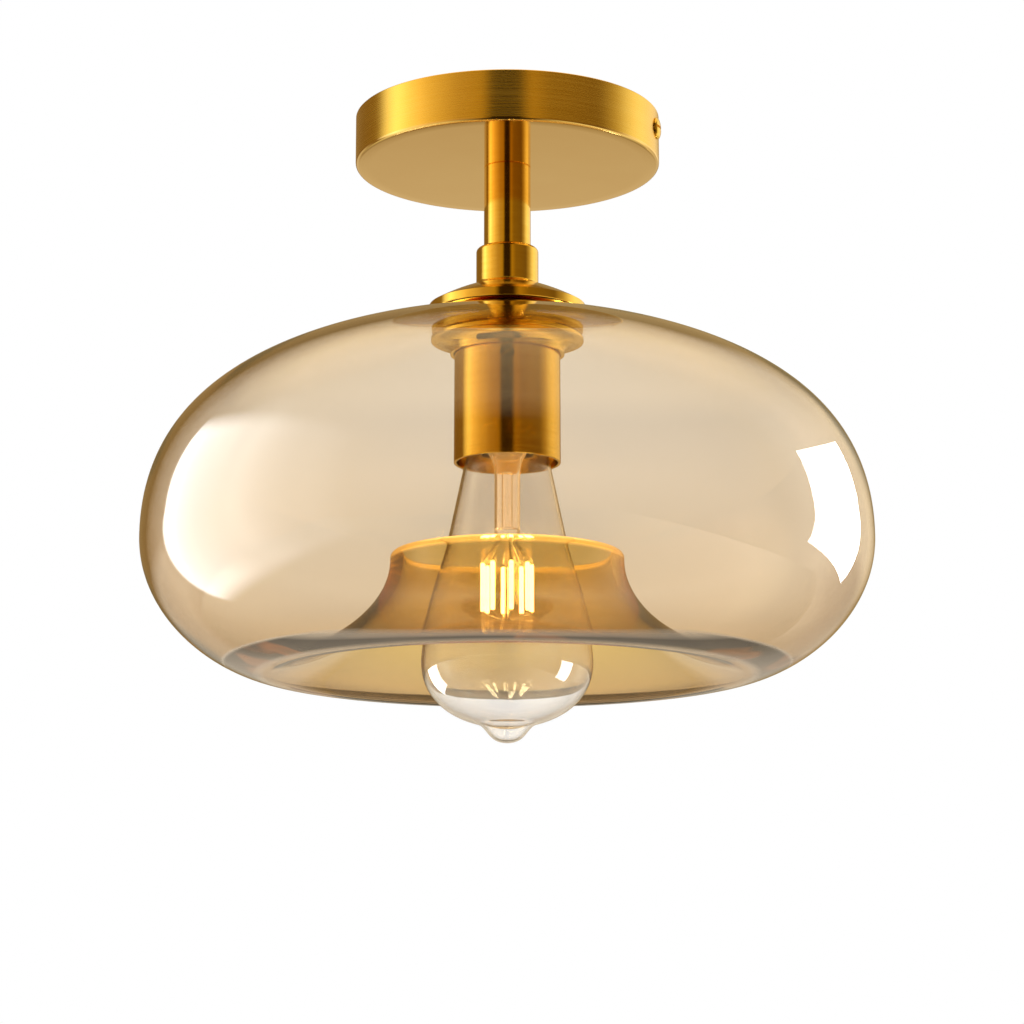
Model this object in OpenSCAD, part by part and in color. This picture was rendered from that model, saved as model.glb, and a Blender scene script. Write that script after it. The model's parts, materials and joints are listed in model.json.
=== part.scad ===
// Semi-flush ceiling light: brass canopy and stem, blown glass shade with a re-entrant well, and one
// screw-in filament lamp. Millimetres, +Z up. The origin is the centre of the ceiling plane, and the
// light hangs down from it. The mounting bar lies along X.

/* [Canopy] */
// Radius of the round canopy
canopy_r = 60; // [56:1:80]
// Height of the canopy below the ceiling
canopy_h = 20; // [20:0.5:30]
// Sheet thickness of the canopy
canopy_wall = 1.2; // [0.8:0.1:1.6]
// Rounding of the canopy's lower edge
canopy_round = 1.4; // [0.6:0.1:2.5]
// Depth of the side screws below the ceiling
side_screw_z = 8; // [7:0.5:9]
// Thread radius of the side screws
side_screw_r = 2; // [1.5:0.1:2.5]
// Head radius of the side screws
side_head_r = 4.3; // [3.5:0.1:5]
// Height of the domed heads of the side screws
side_head_h = 1.7; // [1:0.1:2.4]

/* [Mounting bar] */
// Width of the mounting bar
bar_w = 16; // [14:0.5:18]
// Thickness of the mounting bar
bar_t = 1.6; // [1.2:0.1:2]
// Height of the bar's ears below the ceiling
ear_h = 13; // [12:0.5:14]
// Distance between the centres of the two ceiling slots
slot_spacing = 60; // [50:1:70]
// Width of the ceiling slots
slot_w = 4.6; // [4:0.1:5.5]
// Length of the ceiling slots
slot_l = 14; // [8:1:16]
// Radius of the hole in the middle of the bar for the supply
supply_hole_r = 7; // [5:0.5:7.5]

/* [Stem and rod] */
// Outer radius of the stem
stem_r = 9.2; // [8:0.1:10]
// Wall of the stem
stem_wall = 1.2; // [0.8:0.1:2]
// Length of stem that shows between the canopy and the collar
stem_show = 33; // [25:1:60]
// Thread radius of the hollow rod through the whole light
rod_r = 5; // [4.5:0.1:5.5]
// Radius of the rod's bore
rod_bore_r = 3.6; // [3:0.1:3.8]
// Width across the flats of the rod's hexagon nuts
nut_af = 15; // [14:0.5:17]
// Height of the nut inside the canopy
canopy_nut_h = 4; // [3:0.5:5]

/* [Upper cap] */
// Radius of the collar
collar_r = 12.2; // [11.5:0.1:13]
// Height of the collar's straight wall
collar_h = 14.2; // [10:0.1:18]
// Depth of the seat in the collar for the stem
stem_seat = 3; // [2:0.5:5]
// Radius of the cap's rim
cap_r = 30.6; // [28:0.1:34]
// Height from the collar's wall down to the top of the rim
cap_slope_h = 9.4; // [8:0.1:14]
// Height of the cap's rim
cap_rim_h = 3.2; // [2.5:0.1:6]

/* [Glass shade] */
// Radius of the shade at its belly, on the middle of the glass
belly_r = 139.8; // [130:0.2:150]
// Thickness of the glass
glass_wall = 2.6; // [2.2:0.1:3.4]
// Radius of the neck hole
neck_hole_r = 9.6; // [8:0.1:10.5]
// Drop from the neck to the belly
belly_drop = 89.2; // [75:0.1:100]
// Drop from the neck to the lowest ring
fold_drop = 139.9; // [125:0.1:150]
// Radius of the lowest ring
fold_r = 91; // [85:0.5:100]
// Radius of the opening at the top of the well
well_r = 40.4; // [38:0.2:44]
// Drop from the neck to the middle of the well's lip
lip_drop = 95.9; // [88:0.1:100]
// Radius of the lip's thick bead
lip_bead_r = 2.3; // [2:0.1:3]

/* [Shade holder] */
// Radius of the holder's rim
holder_r = 30.2; // [28:0.1:33]
// Height of the holder's rim
holder_rim_h = 2; // [1.6:0.1:3]
// Height of the trumpet below the rim
holder_drop = 6.1; // [5:0.1:9]
// Sheet thickness of the holder
holder_wall = 1.2; // [0.8:0.1:1.6]
// Thickness of the rubber gaskets at their thinnest
gasket_t = 0.6; // [0.4:0.1:1.6]

/* [Socket cup] */
// Outer radius of the socket cup
cup_r = 20.8; // [20.4:0.1:22]
// Length of the socket cup
cup_h = 48.4; // [46:0.1:52]
// Wall of the socket cup
cup_wall = 1.1; // [0.8:0.1:1.2]
// Direction of the cup's set screw round the axis, in degrees from +X
set_screw_az = -77; // [-180:1:180]
// Distance of the set screw below the cup's top
set_screw_drop = 7; // [6.5:0.5:10]
// Radius of the set screw
set_screw_r = 2.6; // [2:0.1:3]

/* [Lampholder] */
// Outer radius of the lampholder's shell
holder_shell_r = 18.8; // [18.2:0.1:19]
// Height of the lampholder
lampholder_h = 42.4; // [41:0.1:44]
// Inner radius of the threaded shell that takes the lamp's cap
screw_shell_r = 13.6; // [13.4:0.1:14]

/* [Lamp] */
// Radius of the lamp's screw cap
lamp_cap_r = 13.1; // [12.9:0.1:13.2]
// Largest radius of the lamp's glass
lamp_r = 33; // [30:0.2:35]
// Length of the lamp from tip contact to pip
lamp_l = 142.3; // [138:0.1:146]
// Thickness of the lamp's glass
lamp_wall = 1; // [0.7:0.1:1.2]
// Number of light-emitting filament bars
filament_count = 8; // [4:1:12]
// Length of one filament bar
filament_l = 23.5; // [16:0.5:28]
// Radius of one filament bar
filament_r = 0.9; // [0.6:0.1:1.2]
// Radius of the circle that the filament bars stand on
filament_ring_r = 9.5; // [7:0.5:12]

/* [Clearances] */
// Gap between a threaded or loose-fitting pair
fit_gap = 0.15; // [0.1:0.05:0.2]
// Gap round the canopy's side screws and the mounting bar's ends
side_gap = 0.6; // [0.4:0.1:1]
// Gap round a screw in its tapped hole
thread_gap = 0.05; // [0.02:0.01:0.1]
// Gap between the lamp's tip and the contact above it
contact_gap = 0.1; // [0.05:0.05:0.3]

/* [Hidden] */
$fn = 96;
BRASS = [0.80, 0.58, 0.24];
STEEL = [0.72, 0.73, 0.75];
GLASS = [0.86, 0.76, 0.62, 0.45];
RUBBER = [0.16, 0.15, 0.14];
WHITE = [0.93, 0.92, 0.88];
CLEAR = [0.95, 0.95, 0.92, 0.35];

// Heights of the parts stacked on the rod, from the ceiling down
canopy_floor_z = canopy_wall - canopy_h;
washer_t = 1.2;
lock_washer_t = 0.9;
rod_stand = 2;
canopy_nut_z = canopy_floor_z + washer_t + lock_washer_t;
rod_top_z = canopy_nut_z + canopy_nut_h + rod_stand;
collar_z = -canopy_h - stem_show;
collar_foot_z = collar_z - collar_h;
rim_top_z = collar_foot_z - cap_slope_h;
cap_foot_z = rim_top_z - cap_rim_h;
gasket_seat = 0.8;
gasket_r = 22.5;
gasket_top_z = cap_foot_z + gasket_seat;
// The clamped land of the glass is a shallow cone round the neck hole. Past the gaskets the glass
// bends down to its shoulder, under the rim of the cap, where the crown starts.
land_slope = 0.08;
land_end_r = gasket_r + 0.5;
shoulder_drop = 1.25;
land_start_r = neck_hole_r + glass_wall / 2;
neck_z = gasket_top_z - gasket_seat - gasket_t - glass_wall / 2;
land_end_z = neck_z - land_slope * (land_end_r - land_start_r);
shoulder_z = land_end_z - shoulder_drop;
belly_z = neck_z - belly_drop;
fold_z = neck_z - fold_drop;
lip_z = neck_z - lip_drop;
lip_r = well_r + lip_bead_r;
holder_gap = 0.2;
holder_top_z = shoulder_z - glass_wall / 2 - holder_gap;
holder_rim_z = holder_top_z - holder_rim_h;
holder_foot_z = holder_rim_z - holder_drop;
holder_foot_r = cup_r + 0.5 + holder_wall;
shade_nut_h = 4.2;
shade_nut_z = holder_top_z - holder_wall - shade_nut_h;
cup_top_z = shade_nut_z;
cup_foot_z = cup_top_z - cup_h;
cup_bore_r = cup_r - cup_wall;
lampholder_z = cup_top_z - cup_wall;
rod_grip = 5;
dome_h = 11.5;
carrier_drop = 9;
carrier_t = 4;
tongue_h = 1;
rod_end_z = lampholder_z - rod_grip;
dome_foot_z = lampholder_z - dome_h;
carrier_top_z = lampholder_z - carrier_drop;
carrier_foot_z = carrier_top_z - carrier_t;
lamp_top_z = carrier_foot_z - tongue_h;
lampholder_foot_z = lampholder_z - lampholder_h;
lamp_foot_z = lamp_top_z - lamp_l;
tip_r = 4.8;
tip_t = 1.6;
tip_gap = 0.05;
cap_sheet = 0.4;
lead_r = 0.9;
lug_t = 0.5;
insulator_t = 3.4;
cap_top_z = lamp_top_z - tip_t - insulator_t;
cap_l = 21;
cap_end_z = cap_top_z - cap_l;

// Point and slope of a cubic curve with the end points a and d and the handles b and c
function curve_point(a, b, c, d, t) =
    pow(1 - t, 3) * a + 3 * pow(1 - t, 2) * t * b + 3 * (1 - t) * t * t * c + pow(t, 3) * d;
function curve_slope(a, b, c, d, t) =
    pow(1 - t, 2) * (b - a) + 2 * (1 - t) * t * (c - b) + t * t * (d - c);
function unit(v) = v / norm(v);
function left_of(v) = [-v[1], v[0]];
function curve(a, b, c, d, n) = [for (i = [0 : n]) curve_point(a, b, c, d, i / n)];

// Circular arc of points round a centre, from one angle to another
function arc(centre, r, from, to, n) =
    [for (i = [0 : n]) let (w = from + (to - from) * i / n) centre + r * [cos(w), sin(w)]];

module ring(outer, inner, low, high) {
    translate([0, 0, low])
        difference() {
            cylinder(r = outer, h = high - low);
            translate([0, 0, -1]) cylinder(r = inner, h = high - low + 2);
        }
}

// Hexagon nut with its lower face at a height
module hex_nut(low, height) {
    translate([0, 0, low])
        difference() {
            cylinder(r = nut_af / sqrt(3), h = height, $fn = 6);
            translate([0, 0, -1]) cylinder(r = rod_r + fit_gap, h = height + 2);
        }
}

// Slot with round ends along X, cut down through a plate
module slot_cut(length, width, depth) {
    for (s = [-1, 1])
        translate([s * (length - width) / 2, 0, 0]) cylinder(d = width, h = depth);
    translate([-(length - width) / 2, -width / 2, 0]) cube([length - width, width, depth]);
}

// Mounting bar
ear_w = 12;
ear_x = sqrt(pow(canopy_r - canopy_wall - side_gap, 2) - pow(ear_w / 2, 2));
ear_neck_l = 8;
block_y = 25;
block_l = 30;
block_w = 17;
block_h = 12;
tab_w = 14;
tab_end = 6;
earth_x = -16;
earth_r = 2;
block_screw_r = 1.5;

module mounting_bar() {
    color(STEEL)
        difference() {
            union() {
                translate([ear_neck_l - ear_x, -bar_w / 2, -bar_t])
                    cube([2 * (ear_x - ear_neck_l), bar_w, bar_t]);
                translate([-ear_x, -ear_w / 2, -bar_t]) cube([2 * ear_x, ear_w, bar_t]);
                for (x = [-ear_x, ear_x - bar_t])
                    translate([x, -ear_w / 2, -ear_h]) cube([bar_t, ear_w, ear_h]);
                translate([-tab_w / 2, 0, -bar_t]) cube([tab_w, block_y + tab_end, bar_t]);
            }
            for (s = [-1, 1])
                translate([s * slot_spacing / 2, 0, -bar_t - 1]) slot_cut(slot_l, slot_w, bar_t + 2);
            translate([0, 0, -bar_t - 1]) cylinder(r = supply_hole_r, h = bar_t + 2);
            translate([-ear_x - 1, 0, -side_screw_z])
                rotate([0, 90, 0]) cylinder(r = side_screw_r + thread_gap, h = 2 * ear_x + 2);
            translate([earth_x, 0, -bar_t - 1]) cylinder(r = earth_r + thread_gap, h = bar_t + 2);
            translate([0, block_y, -bar_t - 1])
                cylinder(r = block_screw_r + thread_gap, h = bar_t + 2);
        }
}

// Canopy, a spun cup open to the ceiling
module canopy() {
    corner = [canopy_r - canopy_round, canopy_round - canopy_h];
    color(BRASS)
        difference() {
            rotate_extrude()
                polygon(concat(
                    [[rod_r + fit_gap, canopy_floor_z], [rod_r + fit_gap, -canopy_h]],
                    arc(corner, canopy_round, 270, 360, 8),
                    [[canopy_r, 0], [canopy_r - canopy_wall, 0],
                     [canopy_r - canopy_wall, canopy_floor_z]]));
            for (s = [0, 180])
                rotate([0, 0, s]) translate([canopy_r / 2, 0, -side_screw_z])
                    rotate([0, 90, 0]) cylinder(r = side_screw_r + side_gap, h = canopy_r);
        }
}

// Domed screws that hold the canopy to the ears of the mounting bar
module canopy_screws() {
    shank_l = canopy_r - ear_x + bar_t + 2;
    edge_h = 0.3;
    driver_w = 1;
    driver_d = 0.9;
    color(BRASS)
        for (s = [0, 180])
            rotate([0, 0, s]) translate([canopy_r, 0, -side_screw_z]) rotate([0, 90, 0])
                difference() {
                    union() {
                        translate([0, 0, -shank_l]) cylinder(r = side_screw_r, h = shank_l + edge_h);
                        rotate_extrude()
                            polygon(concat([[0, 0], [side_head_r, 0]],
                                [for (i = [0 : 8]) let (w = i * 90 / 8)
                                    [side_head_r * cos(w), edge_h + (side_head_h - edge_h) * sin(w)]]));
                    }
                    translate([-driver_w / 2, -side_head_r - 1, side_head_h - driver_d])
                        cube([driver_w, 2 * side_head_r + 2, driver_d + 1]);
                }
}

// Round-headed screw standing upright, with its head hanging below a face
module hanging_screw(x, y, r, head_r, head_h, face_z, shank_l) {
    translate([x, y, face_z - head_h]) cylinder(r = head_r, h = head_h);
    translate([x, y, face_z - head_h / 2]) cylinder(r = r, h = shank_l + head_h / 2);
}

module earth_screw() {
    color("gold") hanging_screw(earth_x, 0, earth_r, 3.6, 2.4, -bar_t - lug_t, bar_t + lug_t - 0.3);
}

// Terminal block with three poles, held under the bar's tab
block_top_z = -bar_t;
block_foot_z = block_top_z - block_h;
pole_pitch = 9;
pole_row = 5.2;
pole_r = 2.2;
pole_screw_r = 1.6;
wire_way_z = block_foot_z + 7;
wire_way_r = 1.6;
block_head_h = 2;

module terminal_block() {
    color(WHITE)
        difference() {
            translate([-block_l / 2, block_y - block_w / 2, block_foot_z])
                cube([block_l, block_w, block_h]);
            for (i = [-1 : 1], s = [-1, 1])
                translate([i * pole_pitch, block_y + s * pole_row, block_foot_z - 1])
                    cylinder(r = pole_r, h = wire_way_z - block_foot_z + 1);
            for (i = [-1 : 1])
                translate([i * pole_pitch, block_y - block_w / 2 - 1, wire_way_z])
                    rotate([-90, 0, 0]) cylinder(r = wire_way_r, h = block_w + 2);
            for (x = [-1.5, 1.5])
                translate([x * pole_pitch - 0.6, block_y - block_w, block_foot_z - 1])
                    cube([1.2, 2 * block_w, 3]);
            translate([0, block_y, block_foot_z - 1])
                cylinder(r = block_screw_r + fit_gap, h = block_h + 2);
        }
}

// Clamping screws of the terminal block
module terminal_screws() {
    color("gold")
        for (i = [-1 : 1], s = [-1, 1])
            translate([i * pole_pitch, block_y + s * pole_row, block_foot_z + 1])
                difference() {
                    cylinder(r = pole_screw_r, h = wire_way_z - block_foot_z - 1 - lead_r);
                    translate([-0.3, -pole_screw_r - 1, -1]) cube([0.6, 2 * pole_screw_r + 2, 1.7]);
                }
}

module block_screw() {
    color(STEEL)
        hanging_screw(0, block_y, block_screw_r, 2.6, block_head_h, block_foot_z,
                      block_h + bar_t - 0.2);
}

// Hollow threaded rod that everything below the canopy is clamped on
module hollow_rod() {
    color(STEEL) ring(rod_r, rod_bore_r, rod_end_z, rod_top_z);
}

module canopy_nut() {
    color(STEEL) hex_nut(canopy_nut_z, canopy_nut_h);
}

washer_r = 11;
lock_washer_r = 9;

module canopy_washer() {
    color(STEEL) ring(washer_r, rod_r + fit_gap, canopy_floor_z, canopy_floor_z + washer_t);
}

// Lock washer with teeth round its rim
module lock_washer() {
    teeth = 12;
    gap_w = 1.4;
    tooth_l = 1.6;
    low = canopy_floor_z + washer_t;
    color(STEEL)
        difference() {
            ring(lock_washer_r, rod_r + fit_gap, low, low + lock_washer_t);
            for (i = [0 : teeth - 1])
                rotate([0, 0, i * 360 / teeth])
                    translate([lock_washer_r - tooth_l, -gap_w / 2, low - 1])
                        cube([tooth_l + 1, gap_w, lock_washer_t + 2]);
        }
}

module stem() {
    color(BRASS) ring(stem_r, stem_r - stem_wall, collar_z - stem_seat, -canopy_h);
}

// Collar and bell-shaped cap, turned in one piece
module upper_cap() {
    shoulder = 1.8;
    fillet = 1.8;
    // The fillet ends where the slope of the bell starts
    slope_turn = 255;
    slope_start = [collar_r + fillet * (1 + cos(slope_turn)), collar_foot_z + fillet * sin(slope_turn)];
    slope_way = [-sin(slope_turn), cos(slope_turn)];
    slope_reach = 7;
    rim_turn = [-0.9, 0.6];
    slope_end = [cap_r, rim_top_z];
    color(BRASS)
        rotate_extrude()
            polygon(concat(
                [[rod_r + fit_gap, collar_z - stem_seat], [stem_r + fit_gap, collar_z - stem_seat],
                 [stem_r + fit_gap, collar_z]],
                arc([collar_r - shoulder, collar_z - shoulder], shoulder, 90, 0, 6),
                arc([collar_r + fillet, collar_foot_z], fillet, 180, slope_turn - 10, 5),
                curve(slope_start, slope_start + slope_reach * slope_way, slope_end + rim_turn,
                      slope_end, 12),
                [[cap_r, cap_foot_z], [cap_r - 1.5, cap_foot_z], [cap_r - 2.6, cap_foot_z + 1.6],
                 [gasket_r + fit_gap + 1, cap_foot_z + 1.6], [gasket_r + fit_gap + 1, cap_foot_z],
                 [gasket_r + fit_gap, cap_foot_z], [gasket_r + fit_gap, gasket_top_z],
                 [rod_r + fit_gap, gasket_top_z]]));
}

// Glass shade. One wall follows a middle line from the neck hole over the crown and the belly,
// round the fold at the bottom and up the well to its lip, and thickens towards the lip.
neck_start = [land_start_r, neck_z];
land_end = [land_end_r, land_end_z];
shoulder = [cap_r, shoulder_z];
belly = [belly_r, belly_z];
fold = [fold_r, fold_z];
lip = [lip_r, lip_z];
land_way = unit([1, -land_slope]);
crown_way = unit([1, -0.24]);
// Lengths of the handles that shape the runs of the middle line
bend_reach = 2.7;
crown_reach = 45;
crown_rise = 64.5;
flank_fall = 31;
flank_reach = 17;
well_reach = 8;
well_climb = 28;
// Each run of the middle line: its start, two handles, its end and its number of steps
glass_runs = [
    [land_end, land_end + bend_reach * land_way, shoulder - bend_reach * crown_way, shoulder, 3],
    [shoulder, shoulder + crown_reach * crown_way, belly + [0, crown_rise], belly, 22],
    [belly, belly - [0, flank_fall], fold + [flank_reach, 0], fold, 16],
    [fold, fold - [well_reach, 0], lip - [0, well_climb], lip, 20]];
last_run = glass_runs[3];

function run_point(run, i) = curve_point(run[0], run[1], run[2], run[3], i / run[4]);
function run_way(run, i) = unit(curve_slope(run[0], run[1], run[2], run[3], i / run[4]));
// Half the wall at a point: even up to the fold, then growing to the bead's radius at the lip
function half_wall(run, i) =
    let (u = run == last_run ? i / run[4] : 0)
    glass_wall / 2 + (lip_bead_r - glass_wall / 2) * u * u;
function shade_side(s) =
    [for (run = glass_runs) for (i = [run == glass_runs[0] ? 0 : 1 : run[4]])
        run_point(run, i) + s * half_wall(run, i) * left_of(run_way(run, i))];
lip_way = run_way(last_run, last_run[4]);
land_normal = left_of(unit(land_end - neck_start));
lip_turn = atan2(lip_way[1], lip_way[0]);
neck_turn = atan2(land_normal[1], land_normal[0]);
function reversed(list) = [for (i = [len(list) - 1 : -1 : 0]) list[i]];

module glass_shade() {
    color(GLASS)
        rotate_extrude()
            polygon(concat(
                arc(neck_start, glass_wall / 2, neck_turn + 180, neck_turn, 8),
                shade_side(1),
                arc(lip, lip_bead_r, lip_turn + 75, lip_turn - 75, 8),
                reversed(shade_side(-1))));
}

// Height of the land's upper face, for side 1, or its lower face, for side -1, at a radius
function land_z(r, side) =
    neck_z - land_slope * (r - land_start_r) + side * glass_wall / 2 * sqrt(1 + pow(land_slope, 2));
gasket_in = land_start_r + 0.6;

// Rubber ring between the cap and the outside of the glass
module upper_gasket() {
    color(RUBBER)
        rotate_extrude()
            polygon([[gasket_in, land_z(gasket_in, 1)], [gasket_r, land_z(gasket_r, 1)],
                     [gasket_r, gasket_top_z], [gasket_in, gasket_top_z]]);
}

// Rubber ring between the inside of the glass and the holder
module lower_gasket() {
    color(RUBBER)
        rotate_extrude()
            polygon([[gasket_in, land_z(gasket_in, -1)], [gasket_in, holder_top_z],
                     [gasket_r, holder_top_z], [gasket_r, land_z(gasket_r, -1)]]);
}

// Trumpet-shaped holder under the glass, open at the foot where the socket cup goes in
lip_flat = 0.8;
vent_l = 17.5;
vent_h = 2.4;
vent_rise = 2.6;
vent_count = 3;
vent_az = -9;

module shade_holder() {
    rim_r = holder_r - lip_flat;
    flare = rim_r - holder_foot_r;
    inner_rise = holder_drop + holder_rim_h - holder_wall;
    color(BRASS)
        difference() {
            rotate_extrude()
                polygon(concat(
                    [[rod_r + fit_gap, holder_top_z], [rod_r + fit_gap, holder_top_z - holder_wall]],
                    [for (i = [10 : -1 : 0]) let (w = i * 9)
                        [rim_r - (flare + holder_wall) * cos(w), holder_foot_z + inner_rise * sin(w)]],
                    [for (i = [0 : 10]) let (w = i * 9)
                        [rim_r - flare * cos(w), holder_foot_z + holder_drop * sin(w)]],
                    [[holder_r, holder_rim_z], [holder_r, holder_top_z - 0.3],
                     [holder_r - 0.3, holder_top_z]]));
            for (i = [0 : vent_count - 1])
                rotate([0, 0, set_screw_az + vent_az + i * 360 / vent_count])
                    translate([holder_foot_r - 5, 0, holder_foot_z + vent_rise])
                        rotate([0, 90, 0]) rotate([0, 0, 90]) slot_cut(vent_l, vent_h, 20);
        }
}

module shade_nut() {
    color(STEEL) hex_nut(shade_nut_z, shade_nut_h);
}

// Socket cup with a closed top, clamped on the rod above the lampholder
module socket_cup() {
    top_round = 1.5;
    color(BRASS)
        difference() {
            rotate_extrude()
                polygon(concat(
                    [[rod_r + fit_gap, cup_top_z]],
                    arc([cup_r - top_round, cup_top_z - top_round], top_round, 90, 0, 6),
                    [[cup_r, cup_foot_z], [cup_bore_r, cup_foot_z], [cup_bore_r, cup_top_z - cup_wall],
                     [rod_r + fit_gap, cup_top_z - cup_wall]]));
            rotate([0, 0, set_screw_az]) translate([cup_bore_r - 2, 0, cup_top_z - set_screw_drop])
                rotate([0, 90, 0]) cylinder(r = set_screw_r + thread_gap, h = cup_wall + 4);
        }
}

// Slotted grub screw through the cup's wall, bearing on the lampholder
module cup_set_screw() {
    inner_x = holder_shell_r + thread_gap;
    color(BRASS)
        rotate([0, 0, set_screw_az]) translate([inner_x, 0, cup_top_z - set_screw_drop])
            rotate([0, 90, 0])
                difference() {
                    cylinder(r = set_screw_r, h = cup_r - inner_x);
                    rotate([0, 0, 40]) translate([-0.4, -set_screw_r - 1, cup_r - inner_x - 0.8])
                        cube([0.8, 2 * set_screw_r + 2, 2]);
                }
}

// Upper half of the lampholder, threaded on the rod
module lampholder_dome() {
    neck_r = 8.6;
    neck_h = 1.6;
    wall = 1.2;
    dome_edge_z = cup_top_z - set_screw_drop + set_screw_r + 0.4;
    boss_z = rod_end_z + 0.5;
    seat_z = carrier_top_z;
    color(BRASS)
        rotate_extrude()
            polygon(concat(
                [[rod_r + fit_gap, boss_z], [rod_r + fit_gap, lampholder_z], [neck_r, lampholder_z],
                 [neck_r, lampholder_z - neck_h + 1]],
                curve([neck_r + 1, lampholder_z - neck_h], [neck_r + 6, lampholder_z - neck_h],
                      [holder_shell_r, dome_edge_z + 1.2], [holder_shell_r, dome_edge_z], 10),
                [[holder_shell_r, dome_foot_z], [carrier_r + fit_gap, dome_foot_z],
                 [carrier_r + fit_gap, seat_z], [holder_shell_r - wall, seat_z]],
                curve([holder_shell_r - wall, dome_edge_z - 0.5],
                      [holder_shell_r - wall, dome_edge_z + 0.4],
                      [neck_r + 5, lampholder_z - neck_h - wall],
                      [neck_r, lampholder_z - neck_h - wall], 10),
                [[neck_r, boss_z]]));
}

// Lower half of the lampholder, with its edge turned in
module lampholder_shell() {
    wall = holder_shell_wall;
    color(BRASS)
        rotate_extrude()
            polygon(concat(
                [[holder_shell_r - wall, dome_foot_z], [holder_shell_r - wall, lampholder_foot_z + wall],
                 [mouth_r, lampholder_foot_z + wall], [mouth_r, lampholder_foot_z]],
                arc([holder_shell_r - wall, lampholder_foot_z + wall], wall, 270, 360, 5),
                [[holder_shell_r, dome_foot_z]]));
}

// Ceramic carrier of the contacts, with a skirt round the threaded shell
holder_shell_wall = 1;
carrier_r = holder_shell_r - holder_shell_wall;
mouth_r = 16.6;
shell_wall = 0.4;
screw_shell_l = 25;
shell_floor_t = 0.5;
shell_floor_hole_r = 9;
carrier_skirt = 8;
lead_screw_x = 10.5;
lead_screw_r = 1.5;
lead_screw_head_r = 2.2;
lead_screw_head_h = 1.9;

module contact_carrier() {
    skirt_r = screw_shell_r + shell_wall + fit_gap;
    color(WHITE)
        difference() {
            union() {
                ring(carrier_r, 1, carrier_foot_z, carrier_top_z);
                ring(carrier_r - 0.6, skirt_r, carrier_foot_z - carrier_skirt, carrier_foot_z + 0.5);
            }
            for (s = [-1, 1])
                translate([s * lead_screw_x, 0, carrier_top_z - 3])
                    cylinder(r = lead_screw_r + thread_gap, h = 4);
        }
}

// Thin threaded shell that takes the lamp's cap
module screw_shell() {
    floor_z = carrier_foot_z - shell_floor_t;
    color("gold") {
        ring(screw_shell_r + shell_wall, screw_shell_r, floor_z - screw_shell_l, floor_z);
        ring(screw_shell_r + shell_wall, shell_floor_hole_r, floor_z, carrier_foot_z);
    }
}

// Springy tongue that the lamp's tip presses
module centre_contact() {
    tongue_w = 5;
    tongue_t = 0.4;
    tongue_back = 7;
    tongue_l = 12;
    button_r = 1.8;
    low = lamp_top_z + contact_gap;
    color("gold") {
        translate([-tongue_back, -tongue_w / 2, carrier_foot_z - tongue_t])
            cube([tongue_l, tongue_w, tongue_t]);
        translate([0, 0, low]) cylinder(r = button_r, h = carrier_foot_z - low);
    }
}

// Screws on the carrier that take the ends of the leads
module lead_screws() {
    color("gold")
        for (s = [-1, 1])
            translate([s * lead_screw_x, 0, carrier_top_z]) {
                cylinder(r = lead_screw_head_r, h = lead_screw_head_h);
                translate([0, 0, -2.5]) cylinder(r = lead_screw_r, h = 3);
            }
}

// Leads. Each is a round tube along points chosen by hand, with a smooth run between them.
LEAD_SIDES = 8;
live_route = [[9, 16.5, -6.6], [8.4, 13, -6.4], [6.4, 8.5, -5.8], [3.6, 4.2, -5.6], [1.7, 1.2, -7.6],
              [1.3, 0, -12], [1.3, 0, -30], [1.3, 0, -60], [1.3, 0, -88], [1.6, 0, -93.5],
              [2.6, 0, -97], [4.6, 0, -99.3], [6.6, 0, -100], [8.2, 0, -100.05]];

function along(route, i, t) =
    let (p0 = route[max(0, i - 1)], p1 = route[i], p2 = route[i + 1],
         p3 = route[min(len(route) - 1, i + 2)])
    0.5 * (2 * p1 + t * (p2 - p0) + t * t * (2 * p0 - 5 * p1 + 4 * p2 - p3)
           + t * t * t * (3 * p1 - p0 - 3 * p2 + p3));
function smooth(route, n) =
    concat([for (i = [0 : len(route) - 2], k = [0 : n - 1]) along(route, i, k / n)],
           [route[len(route) - 1]]);
function tangent(path, i) = unit(path[min(len(path) - 1, i + 1)] - path[max(0, i - 1)]);

// Tube along a path, with one ring of points square to the path at each of its points
module tube(path, r, side) {
    rings = [for (i = [0 : len(path) - 1])
        let (t = tangent(path, i), u = unit(cross(side, t)), v = cross(t, u))
        for (k = [0 : LEAD_SIDES - 1])
            let (w = k * 360 / LEAD_SIDES) path[i] + r * (cos(w) * u + sin(w) * v)];
    n = LEAD_SIDES;
    last = (len(path) - 1) * n;
    polyhedron(rings, concat(
        [[for (k = [0 : n - 1]) k]],
        [for (i = [0 : len(path) - 2], k = [0 : n - 1])
            [i * n + k, (i + 1) * n + k, (i + 1) * n + (k + 1) % n, i * n + (k + 1) % n]],
        [[for (k = [0 : n - 1]) last + n - 1 - k]]));
}

module live_lead() {
    color("brown") tube(smooth(live_route, 2), lead_r, [0, 1, 0.3]);
}

module neutral_lead() {
    color("blue") mirror([1, 0, 0]) tube(smooth(live_route, 2), lead_r, [0, 1, 0.3]);
}

// Earth lead from the middle pole to a lug under the earth screw's head
earth_route = [[0, 16.5, -6.6], [-0.9, 13.8, -6.1], [-3.6, 11.2, -4.5], [-8, 10.2, -3.3],
               [-12.5, 9.7, -3.1], [-15.4, 7.9, -2.95], [-16, 5.4, -2.7]];
lug_r = 4.2;
lug_tail_w = 2.6;
lug_tail_l = 7.4;

module earth_lead() {
    color("green") {
        tube(smooth(earth_route, 2), lead_r, [0.3, 0.2, 1]);
        translate([earth_x, 0, -bar_t - lug_t])
            difference() {
                union() {
                    cylinder(r = lug_r, h = lug_t);
                    translate([-lug_tail_w / 2, 0, 0]) cube([lug_tail_w, lug_tail_l, lug_t]);
                }
                translate([0, 0, -1]) cylinder(r = earth_r + fit_gap, h = lug_t + 2);
            }
    }
}

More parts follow.
